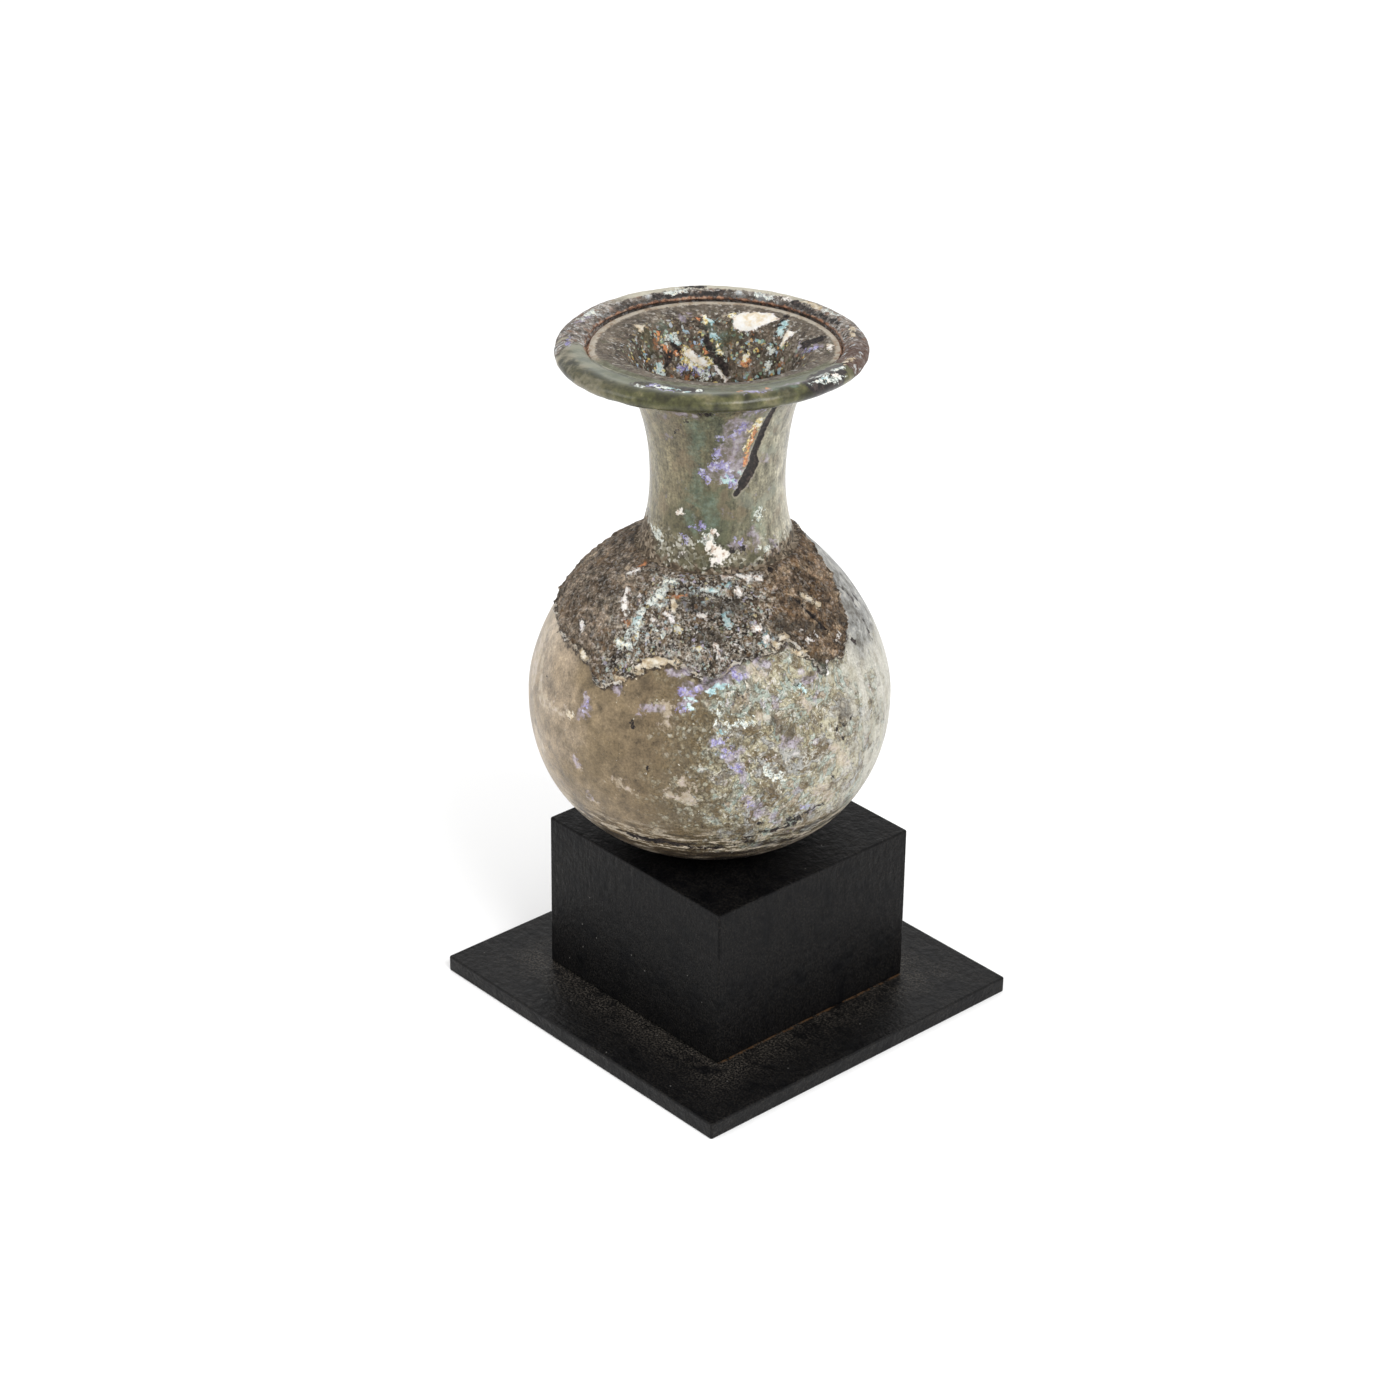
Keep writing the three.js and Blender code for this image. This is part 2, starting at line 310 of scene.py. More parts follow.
def turned_piece(name, points, steps):
    """Extrude an outline point by point and spin it. Each vertex keeps the number of its row."""
    clear_selection()
    bpy.ops.mesh.primitive_plane_add(size=0.001)
    piece = bpy.context.object
    piece.name = name
    piece.data.name = name
    bpy.ops.object.mode_set(mode='EDIT')
    bpy.ops.mesh.select_all(action='SELECT')
    bpy.ops.mesh.merge(type='CENTER')
    start = points[0]
    bpy.ops.transform.translate(value=(start[0] * MM, 0.0, start[1] * MM))
    for here, there in zip(points, points[1:]):
        step = ((there[0] - here[0]) * MM, 0.0, (there[1] - here[1]) * MM)
        bpy.ops.mesh.extrude_region_move(TRANSFORM_OT_translate={"value": step})
    bpy.ops.object.mode_set(mode='OBJECT')
    rows = piece.data.attributes.new("row", 'FLOAT', 'POINT')
    rows.data.foreach_set("value", np.arange(len(points), dtype=np.float32))
    bpy.ops.object.mode_set(mode='EDIT')
    bpy.ops.mesh.select_all(action='SELECT')
    bpy.ops.mesh.spin(steps=steps, angle=math.tau, center=(0, 0, 0), axis=(0, 0, 1))
    bpy.ops.mesh.select_all(action='SELECT')
    bpy.ops.mesh.remove_doubles(threshold=0.000002)
    bpy.ops.mesh.normals_make_consistent(inside=False)
    bpy.ops.object.mode_set(mode='OBJECT')
    bpy.ops.object.shade_smooth()
    return piece


def lumps(places, size, offset=0.0, octaves=3):
    """Rounded random relief of about -1 to 1, with bumps of the given size in millimetres."""
    shift = Vector((offset, offset * 0.7, -offset))
    return np.array([
        noise.fractal(Vector(place) / size + shift, 0.8, 2.1, octaves) for place in places
    ])


def border_height(bearing):
    """Height of the crust's lower border."""
    turns = np.array([point[0] for point in CRUST_BORDER], dtype=float)
    heights = np.array([point[1] for point in CRUST_BORDER], dtype=float)
    around = np.mod(bearing + 130.0, 360.0) - 130.0
    return np.interp(around, turns, heights, period=360.0)


# Marks on the bottle, each with half its width and then the bearing and height of its two ends.
# On the rim's crest and in the mouth a radius takes the height's place.
OUTSIDE_MARKS = {
    "mauve": [
        (2.2, 13, 88, 10, 80), (1.6, 20, 88, 14, 84), (1.3, -3, 78.2, 14, 77.4), (1.3, 17, 85, 21, 79),
        (0.9, 20, 91, 27, 91.4), (0.7, 33, 79.8, 41, 80.2), (0.9, 30, 66, 32, 63.4),
        (0.8, 48, 63.4, 50, 61.6), (0.6, 13, 64.8, 16, 64.6), (0.5, 22, 63.5, 25, 64.2),
        (0.5, -44, 92, -15, 90.4), (0.9, -45, 35.4, -42.5, 37.2), (0.6, -42.5, 37.4, -43.5, 38.6),
        (0.8, -23, 39.6, -17, 40.4), (1.1, -8, 43.8, 2, 44.8), (0.8, -10, 41, -7, 42.8),
        (1.2, 5, 45.6, 11, 46.8), (0.6, -14, 46.4, -8, 46.6), (0.7, 1, 35, 6, 34),
        (0.7, 5, 32.4, 9, 33.6), (0.7, 9, 30, 11, 27), (0.8, 12, 24, 15, 21.6), (0.9, 24, 34.4, 29, 33),
        (0.7, 18, 20, 23, 17.8), (0.5, -46.6, 26.6, -45.4, 25.6), (0.5, -42.6, 19.4, -41, 18.8),
        (0.4, -34, 41.8, -32, 41.4), (0.6, 18, 48, 22, 47.4), (0.6, 34, 45, 36, 43),
    ],
    "lilac": [
        (1.0, -3, 79.8, 5, 79.9), (0.55, -14, 78.8, -8, 77), (0.8, 10, 77.4, 14, 76),
        (0.7, 10, 86, 19, 88), (0.6, 23, 91.8, 29, 91.4), (0.4, 1, 85.8, 4, 85.4),
        (0.6, 0, 82.6, 5, 82), (0.45, -20, 67.8, -15, 68.6), (0.55, -15, 68.4, -11, 67.2),
        (0.4, -28, 65.2, -26, 64.8), (0.35, 14, 65.2, 18, 64.8), (0.4, -44.4, 36.6, -43, 37.8),
        (0.5, -10, 43.6, -4, 44), (0.5, -9.6, 41, -8, 40.8), (0.6, 8, 46.6, 10.6, 46),
        (0.5, 0, 35, 4, 35.6), (0.4, 3, 33, 7, 33.8), (0.4, 8, 30.6, 9.6, 29.8), (0.4, 12, 23, 13, 22),
        (0.5, 31, 20, 34, 19),
    ],
    "frost": [
        (1.0, -29, 57, -31, 55.2), (0.6, -30, 58.2, -26, 58.4), (0.6, -32.6, 54, -33, 52.2),
        (0.6, -32.6, 51.4, -31, 50.4), (0.6, -38, 48.8, -32, 49), (0.45, 3, 42, 3, 38.4),
        (0.45, 5, 38.4, 13, 38.6), (0.4, -26, 56.4, -25, 54.6), (0.35, -36, 50.6, -35, 49.8),
        (0.5, 21, 28, 23, 26.4), (0.5, 18, 30.6, 18, 28.4), (0.6, 38, 69.8, 36, 68.4),
        (0.8, -11, 66, -6, 65.4), (0.8, -62, 64.4, -50, 64), (0.6, 36, 63, 44, 62),
        (0.4, -8, 58, 2, 57.6), (0.35, -24, 52, -20, 51),
    ],
    "cyan": [
        (0.4, -7.6, 42.4, -5.4, 42.2), (0.35, -8, 41, -5.6, 40.8), (0.4, -1, 43.6, 5, 44.8),
        (0.3, 2.6, 37.6, 4.6, 37), (0.45, 6.6, 54.6, 7, 53), (0.35, -2.4, 57.8, 0.6, 57.8),
        (0.3, 5, 58.2, 8, 58.4), (0.3, -35, 51.8, -33.4, 52.8), (0.45, 21.6, 50, 23, 51.2),
        (0.6, 6, 77, 9.6, 76.8), (0.5, 20.4, 78.4, 21.8, 77.2), (0.3, 32.4, 43, 33.4, 42),
    ],
    "chalk": [
        (0.45, -21, 54.4, -17, 53.4), (0.6, 18.4, 52.6, 22, 52.1), (0.5, 22, 50.4, 24, 51.2),
        (0.6, 12.6, 57.9, 14.4, 57.1), (0.4, 4, 59.5, 9, 59.3), (0.5, 15, 59.4, 19, 58.8),
        (0.3, 20, 58.7, 23, 59.3), (0.55, 24.6, 59, 28.4, 58.5), (0.4, 40.6, 49.3, 41.8, 49),
        (0.22, 45.6, 49.4, 46, 49.2), (0.22, 39.8, 50.6, 40.4, 50.5), (0.25, -61, 48.9, -58.4, 47.8),
        (0.9, -5, 64.4, 5, 62.9), (0.5, -9, 65.6, -4, 64.4), (0.6, -3, 61.8, 2, 61.8),
        (0.35, -3.4, 67, -2.4, 66.6), (0.3, -35, 69.8, -30, 70), (0.35, -29, 62.4, -25, 62.4),
        (0.5, -48, 55.8, -46, 55), (0.6, -45, 54.6, -42.6, 53.4), (0.3, -41, 52.6, -40.4, 51.8),
        (0.3, -38, 55.8, -37, 55), (0.25, -26, 53.4, -24.6, 53), (0.5, -56, 57.4, -52.6, 58.4),
        (0.35, 2, 50.6, 3.4, 48.6), (0.18, 44.6, 43.4, 45.4, 45), (0.3, 54, 47, 57, 48),
        (0.3, -9, 52.6, -7, 52), (0.3, -6, 54.6, -3, 54.4), (0.3, 10, 50.4, 12, 50),
    ],
    "cream": [
        (0.55, -27, 45.9, -25, 46.8), (0.9, -24, 47, -20, 47.4), (0.6, -20, 47.6, -12, 47.8),
        (0.4, -26.6, 45, -25.6, 45.6), (0.75, -51.8, 45, -50, 44.6), (0.6, 25, 49.4, 31, 50.6),
        (0.35, 34, 48, 39, 47.6), (0.5, -20, 56, -18, 54.8), (0.5, 50, 54.8, 55, 52.6),
        (0.3, 10.4, 59, 11.6, 57.4), (0.3, -50.6, 34.3, -48.6, 34.3), (0.4, -34, 43.8, -31, 43.8),
    ],
    "bloom": [
        (2.0, -84, 42, -79, 34), (1.2, -74, 38, -69, 33), (0.7, -68, 33, -48, 34.3),
        (1.0, -72, 25, -66, 23), (0.5, -47, 26.4, -44.6, 25), (0.6, -30, 24.8, -23, 23.6),
        (1.1, -8, 28, -5, 27.2), (0.9, -12, 24.4, -6, 24), (0.4, -42, 18.8, -38, 17.6),
        (1.2, 43, 30, 47, 26), (1.2, 36, 23, 43, 20), (0.8, -15, 41, -14.4, 37.6),
        (0.8, 16, 46.6, 20, 45.6), (0.7, 32, 41, 34, 39.4), (0.7, 16, 39.8, 18, 39),
    ],
    "gold": [
        (0.45, -15.4, 52.8, -13.8, 52.3), (0.4, -38.4, 49, -37, 48.6), (0.3, -32, 50.8, -31, 50.4),
        (0.35, 32, 89.4, 30, 87), (0.3, 28, 88.6, 24, 86.4), (0.3, 24, 85, 21.6, 83),
        (0.3, 11.6, 24.6, 12, 23.4), (0.3, -5, 50, -3, 50.2),
    ],
    "orange": [
        (0.45, 28.6, 87.6, 26, 85), (0.5, 25, 84.8, 23, 83.2), (0.35, 24, 82.2, 22.6, 79.8),
        (0.35, -21, 56.4, -16, 57.2), (0.25, -54.6, 58.8, -53, 59.2), (0.25, -40, 52, -38, 51.8),
    ],
    "teal": [
        (1.2, -16, 88, -18, 72), (1.6, -10, 72, -6, 68.6), (1.0, -25, 70, -20, 67),
        (0.5, 43, 45, 44.4, 44), (0.8, 34, 70, 38, 66),
    ],
    "moss": [
        (2.6, -36, 68, -12, 68), (1.6, -12, 74, -4, 70), (1.0, -28, 61.6, -12, 61.6),
        (0.9, 26, 62, 36, 61.6), (1.4, -12, 86, -2, 84), (0.5, 30, 53, 36, 50.4),
        (1.1, 46, 37.4, 48, 35.6), (0.9, 22, 37.6, 26, 35.4), (0.8, 42, 45.6, 44, 44.4),
        (0.9, 58, 46, 62, 47), (1.0, 64, 49, 68, 51), (1.5, -16, 56, -2, 55.6), (1.6, 0, 55.6, 14, 55),
        (1.2, -8, 51.6, 4, 52), (1.4, 30, 52, 44, 50),
    ],
    "soot": [
        (0.4, 37, 59.3, 39, 60.5), (0.25, 39, 60.6, 50, 61.2), (0.45, 11.6, 63.7, 12.6, 63.6),
        (0.5, 18.4, 63.7, 20.4, 63.7), (0.9, -30, 11.8, -17, 11.8), (0.7, -17, 12.2, -8, 11.4),
        (0.5, -8, 11.2, 6, 11), (0.6, 22, 15, 31, 15.8), (0.5, 27, 17.4, 31, 16.8),
        (0.5, 33, 17.6, 39, 18.4), (0.4, 8, 12, 16, 12.6), (0.35, 18, 15, 25, 14.8),
        (0.35, 13, 13.8, 18, 14.4), (0.3, 15, 18.2, 18, 17.6), (0.35, -80, 66.4, -74, 63),
        (0.7, -11, 91.8, 2, 92.2), (0.5, -9, 91, -4, 90.9), (0.5, -22, 92.4, -11, 92.4),
        (0.25, 79, 53.5, 84, 49.6), (0.25, 84, 49.6, 80, 45), (0.22, 80, 45, 79, 42.6),
        (0.2, 87, 51.2, 88, 48), (0.25, 44, 55.2, 48, 51.8), (0.25, 48, 51.8, 52, 49.2),
        (0.28, -21.8, 89, -20, 88.9), (0.24, -28.6, 87.1, -27.6, 87), (0.2, -33, 85.9, -32.6, 85.9),
        (0.26, -5.4, 83.8, -4.6, 83.8), (0.2, 27, 83.7, 27.6, 83.7), (0.22, -45, 33.2, -44.6, 33.2),
        (0.3, -19.6, 29.6, -18.4, 29.6), (0.2, -25.2, 37.4, -25, 37), (0.18, -25, 36.2, -24.8, 36.2),
        (0.2, -42.2, 18.8, -41.8, 18.8), (0.35, 43, 33.6, 46, 34.6), (0.25, 47, 33.6, 51, 34.6),
        (0.25, 53, 28.4, 53.2, 28.4), (0.28, 37, 35.4, 37.4, 35.2), (0.33, 41.8, 25.2, 42.2, 24),
        (0.25, 10, 43.4, 10.4, 43), (0.25, 46, 31.6, 46.4, 31.4), (0.5, 62, 46.8, 66, 45),
        (0.25, 31, 43.4, 31.4, 43),
    ],
    "gash": [
        (0.8, 43, 93.6, 36, 86.6), (0.75, 36, 86.6, 29, 81), (1.1, 30, 79.8, 26, 77.6),
        (0.95, 27, 78.6, 21, 75.8), (0.55, 21, 75.6, 15.4, 74),
    ],
}
CREST_MARKS = {
    "mauve": [(0.5, 12, 25.2, 22, 25.4), (0.4, 30, 24.8, 38, 25.2), (0.5, -116, 25, -108, 25.6)],
    "lilac": [
        (0.3, -28, 23.6, -24, 23.4), (0.3, -20, 24.6, -16, 24.4), (0.3, 14, 25.4, 20, 25.8),
        (0.3, -92, 25.8, -84, 25.6),
    ],
    "frost": [
        (0.25, -31, 24.8, -29, 24.6), (0.2, -25, 23.6, -23, 23.8), (0.2, -14, 24.6, -12, 24.4),
        (0.25, -9, 23.8, -6, 23.6), (0.2, -20, 23.4, -18, 23.6), (0.4, 42, 26.6, 48, 27),
        (0.35, 45, 25, 50, 25.4), (0.35, 50, 27.4, 56, 27.6), (0.3, 54, 26, 60, 26),
        (0.4, 152, 24.2, 160, 24.2), (0.4, -124, 25.4, -112, 25.6), (0.3, 118, 25.2, 126, 25.4),
        (0.4, -170, 24.4, -160, 24.4),
    ],
    "cyan": [(0.2, -18, 23.8, -16, 23.6), (0.2, -12, 24.4, -10, 24.4), (0.2, 46, 26.4, 48, 26.6)],
    "chalk": [(0.3, 146, 24.6, 150, 24.6), (0.25, 52, 26.8, 54, 27)],
    "cream": [(0.5, 130, 25.2, 138, 25.4), (0.4, 64, 25.4, 70, 25.8), (0.4, 96, 25, 104, 25.4)],
    "orange": [(0.25, 10, 24.6, 12, 24.6), (0.25, 22, 24.4, 24, 24.4)],
    "teal": [(0.5, 24, 25.6, 34, 25.8)],
    "moss": [(1.2, -60, 27.4, -40, 27.6), (1.0, -40, 27.6, 30, 27.6)],
    "soot": [
        (1.7, 41, 26.8, 56, 26.6), (1.3, 44, 25, 60, 24.8), (0.6, 176, 23.9, 206, 23.9),
        (0.5, 112, 24.2, 142, 24.2), (1.2, -32, 24.2, -6, 24), (0.6, -176, 25.6, -168, 25.6),
        (1.8, 43, 27.9, 53, 27.8),
    ],
}
MOUTH_MARKS = {
    "mauve": [(1.2, 100, 17.6, 108, 16), (0.6, -165, 18, -158, 17.6)],
    "lilac": [(0.8, -150, 12.4, -162, 12.2), (0.5, 98, 17.6, 102, 16.4), (0.4, -172, 12, -166, 12)],
    "frost": [
        (0.9, -126, 12.8, -124, 12.2), (0.7, -170, 11.8, -166, 12), (0.5, 136, 14, 134, 12.6),
        (0.5, -150, 14.6, -142, 14.8),
    ],
    "cyan": [
        (0.7, 139, 18.4, 136, 16.2), (0.3, -146, 15, -150, 14.2), (0.3, -177, 14.8, 178, 14.4),
        (0.25, -173, 16.4, 179, 16.6), (0.4, -127, 13, -125, 11.8), (0.25, 172, 12.8, 176, 12.4),
    ],
    "chalk": [
        (2.1, 162, 16.8, 157, 17.4), (1.7, 157, 17.6, 151, 18.2), (0.9, 151, 18, 147, 18.4),
        (0.4, 129, 16.6, 128, 15), (0.3, 127, 16.8, 125, 17.4), (0.3, -179, 12.2, 173, 11.6),
        (0.35, 92, 20, 95, 20.4), (0.6, -157, 13.3, -162, 12.8), (0.45, -165, 12.7, -169, 12.5),
    ],
    "cream": [(0.6, -129, 17.8, -127, 17.2), (0.45, 91, 20, 96, 20.4)],
    "gold": [
        (0.9, -155, 13.4, -160, 12.8), (1.0, -158, 12.7, -171, 12.5), (0.5, -150, 13, -156, 12.8),
        (0.4, -173, 18, -173, 16.6), (0.4, 170, 18.2, 171, 17.4), (0.35, 179, 13.9, 177, 13),
        (0.3, 154, 13.2, 157, 12.8),
    ],
    "orange": [
        (0.4, -139, 14.2, -141, 13.4), (0.4, -148, 13.4, -152, 13.2), (0.5, 154, 13, 157, 12.6),
        (0.35, -138, 15.6, -136, 15), (0.35, -171, 17.4, -169, 17), (0.35, -170, 13.6, -173, 13.2),
        (0.3, 150, 18.2, 152, 17.8),
    ],
    "teal": [(0.6, 179, 14.4, 177, 12.6), (0.5, -176, 15.6, -178, 13.6), (0.6, -142, 16, -138, 15)],
    "moss": [(1.4, 170, 15, 178, 13), (1.2, -128, 16, -126, 14)],
    "soot": [
        (0.28, 141, 20.8, 139, 16.8), (0.28, 139, 16.8, 131, 13.9), (0.7, 178, 12.8, 172, 12),
        (1.2, 107, 19.4, 108, 16.8), (0.6, -172, 14.4, -176, 13.4), (0.7, -140, 13.4, -136, 12.8),
        (0.5, -176, 13.4, -179, 12.6), (0.5, -150, 13.6, -146, 14.4),
    ],
}


def mark_depth(places, runs, spot):
    """How deep in its marks each place lies, in millimetres, and below 0 outside them."""
    depth = np.full(len(places), OFF_MARK)
    for half, *ends in runs:
        start = spot(*ends[:2])
        step = spot(*ends[2:]) - start
        share = np.clip((places - start) @ step / max(step @ step, 1e-9), 0.0, 1.0)
        gap = np.linalg.norm(places - start - share[:, None] * step, axis=1)
        depth = np.maximum(depth, half - gap)
    return depth


def spot_on(outline, chosen, given, region=None):
    """A function that gives the place of a bearing and a radius or height on part of the outline."""
    order = np.argsort(outline[chosen, given])
    known = outline[chosen, given][order]
    sought = outline[chosen, 1 - given][order]

    def spot(bearing, value):
        there = region
        if region is None:
            there = BODY if value < BODY_HEIGHT else NECK
        pair = [float(value), np.interp(value, known, sought)]
        radius, height = pair if given == RADIUS else reversed(pair)
        return placed(*(np.array([item]) for item in (radius, height, there, float(bearing))))[0]
    return spot


def bottle_marks(outline, regions, places, region, radius):
    """How deep each vertex lies in each kind of mark."""
    mouth = np.flatnonzero(regions == MOUTH)
    funnel = mouth[: int(np.argmin(outline[mouth, RADIUS])) + 1]
    middle = RIM_TOP_HEIGHT - ROLL_HEIGHT / 2
    upper_rim = (regions == RIM) & (outline[:, HEIGHT] > middle) & (outline[:, RADIUS] >= FOLD_RADIUS)
    outer = (regions == BODY) | (regions == NECK)
    on_rim = region == RIM
    kinds = (
        (OUTSIDE_MARKS, spot_on(outline, outer, HEIGHT), (region == BODY) | (region == NECK) | on_rim),
        (MOUTH_MARKS, spot_on(outline, funnel, RADIUS, MOUTH),
         (region == MOUTH) | (on_rim & (radius < FOLD_RADIUS))),
        (CREST_MARKS, spot_on(outline, upper_rim, RADIUS, RIM), on_rim),
    )
    marks = {}
    for name in OUTSIDE_MARKS:
        marks[name] = np.full(len(places), OFF_MARK)
        for table, spot, there in kinds:
            depth = mark_depth(places[there], table.get(name, ()), spot)
            marks[name][there] = np.maximum(marks[name][there], depth)
    return marks


def put_mark(mesh, name, values):
    layer = mesh.attributes.new(name, 'FLOAT', 'POINT')
    layer.data.foreach_set("value", np.asarray(values, dtype=np.float32))


def bottle_relief(place, radius, height, region, bearing, marks):
    """How far crust, marks and lumps raise each vertex, and how far it lies inside the crust's border."""
    soft = lumps(place, 14.0, 3.0, 2)
    coarse = lumps(place, 3.2, 11.0, 3)
    fine = lumps(place, 0.9, 29.0, 3)
    outer = (region == BODY) | (region == NECK)
    crust = height + 0.45 * fine + 0.5 * coarse - border_height(bearing)
    crust = np.where(region == BODY, crust, OFF_MARK)
    near_neck = 0.35 + 0.65 * smooth(BODY_HEIGHT - height, 0.0, CRUST_FADE)
    rise = smooth(crust, -0.15, 0.25) * near_neck * (CRUST_THICKNESS + 0.34 * coarse + 0.3 * fine)
    rise += CRUST_EDGE_RISE * (smooth(crust, -0.1, 0.15) - smooth(crust, 0.35, 1.0))
    rise += np.where(outer, SOFT_RISE * soft, 0.0)
    rise -= GASH_DEPTH * smooth(marks["gash"], -0.1, 0.3)
    crease_height = BODY_HEIGHT + 0.2 + 0.5 * soft
    rise -= CREASE_DEPTH * np.exp(-((height - crease_height) / CREASE_WIDTH) ** 2) * outer
    rise -= CRACK_DEPTH * smooth(marks["soot"], -0.1, 0.3) * (region == BODY)
    rise += FLAKE_RISE * smooth(np.maximum(marks["cream"], marks["chalk"]), -0.1, 0.3)
    rim_crusted = (region == RIM) & (radius > FOLD_RADIUS)
    rise += np.where(rim_crusted, 0.10 * coarse - 0.12, 0.0)
    rise += np.where(region == MOUTH, 0.12 * coarse + 0.05 * fine, 0.0)
    return rise, crust


def give_materials(mesh, region):
    """Each face takes the material of its part of the bottle. The hollow shares the mouth's."""
    for material in (body_finish(), neck_finish(), rim_finish(), mouth_finish()):
        mesh.materials.append(material)
    corners = np.empty(len(mesh.loops), dtype=np.int32)
    mesh.loops.foreach_get("vertex_index", corners)
    first = np.empty(len(mesh.polygons), dtype=np.int32)
    mesh.polygons.foreach_get("loop_start", first)
    face_region = np.maximum.reduceat(region[corners], first)
    slots = np.array([0, 1, 2, 3, 3], dtype=np.int32)
    mesh.polygons.foreach_set("material_index", slots[face_region])


def make_bottle():
    outline, regions = bottle_outline()
    piece = turned_piece("glass_bottle", outline, TURN_STEPS)
    mesh = piece.data
    count = len(mesh.vertices)
    turned = np.empty(count * 3)
    mesh.vertices.foreach_get("co", turned)
    turned = turned.reshape(-1, 3)
    rows = np.empty(count, dtype=np.float32)
    mesh.attributes["row"].data.foreach_get("value", rows)
    rows = np.rint(rows).astype(int)
    radius, height = outline[rows].T
    region = regions[rows]
    out = outward(outline)[rows]
    azimuth = np.degrees(np.arctan2(turned[:, 0], -turned[:, 1]))
    bearing = np.mod(azimuth - FRONT + 180.0, 360.0) - 180.0
    place = placed(radius, height, region, bearing)
    marks = bottle_marks(outline, regions, place, region, radius)
    rise, crust = bottle_relief(place, radius, height, region, bearing, marks)
    final = placed(radius + rise * out[:, 0], height + rise * out[:, 1], region, bearing)
    mesh.vertices.foreach_set("co", (final * MM).astype(np.float32).ravel())

    put_mark(mesh, "crust", crust)
    put_mark(mesh, "rightness", np.sin(np.radians(bearing)))
    put_mark(mesh, "frontness", np.cos(np.radians(bearing)))
    put_mark(mesh, "height", height)
    put_mark(mesh, "radius", radius)
    for name, depth in marks.items():
        put_mark(mesh, name, depth)
    give_materials(mesh, region)
    mesh.update()
    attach(piece, "root")
    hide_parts("bottle")


def tone(red, green, blue):
    """The paint that shows on screen, under the studio's light, as this colour of 0 to 255."""
    def plain(value):
        share = value / 255.0
        light = share / 12.92 if share <= 0.04045 else ((share + 0.055) / 1.055) ** 2.4
        return light / STUDIO_LIGHT
    return (plain(red), plain(green), plain(blue), 1.0)


def grey_stops(depth):
    """A ramp of greys around the middle, for lightening and darkening."""
    low, high = 0.5 - depth / 128.0, 0.5 + depth / 128.0
    return ((0.32, low, low, low, 1.0), (0.68, high, high, high, 1.0))


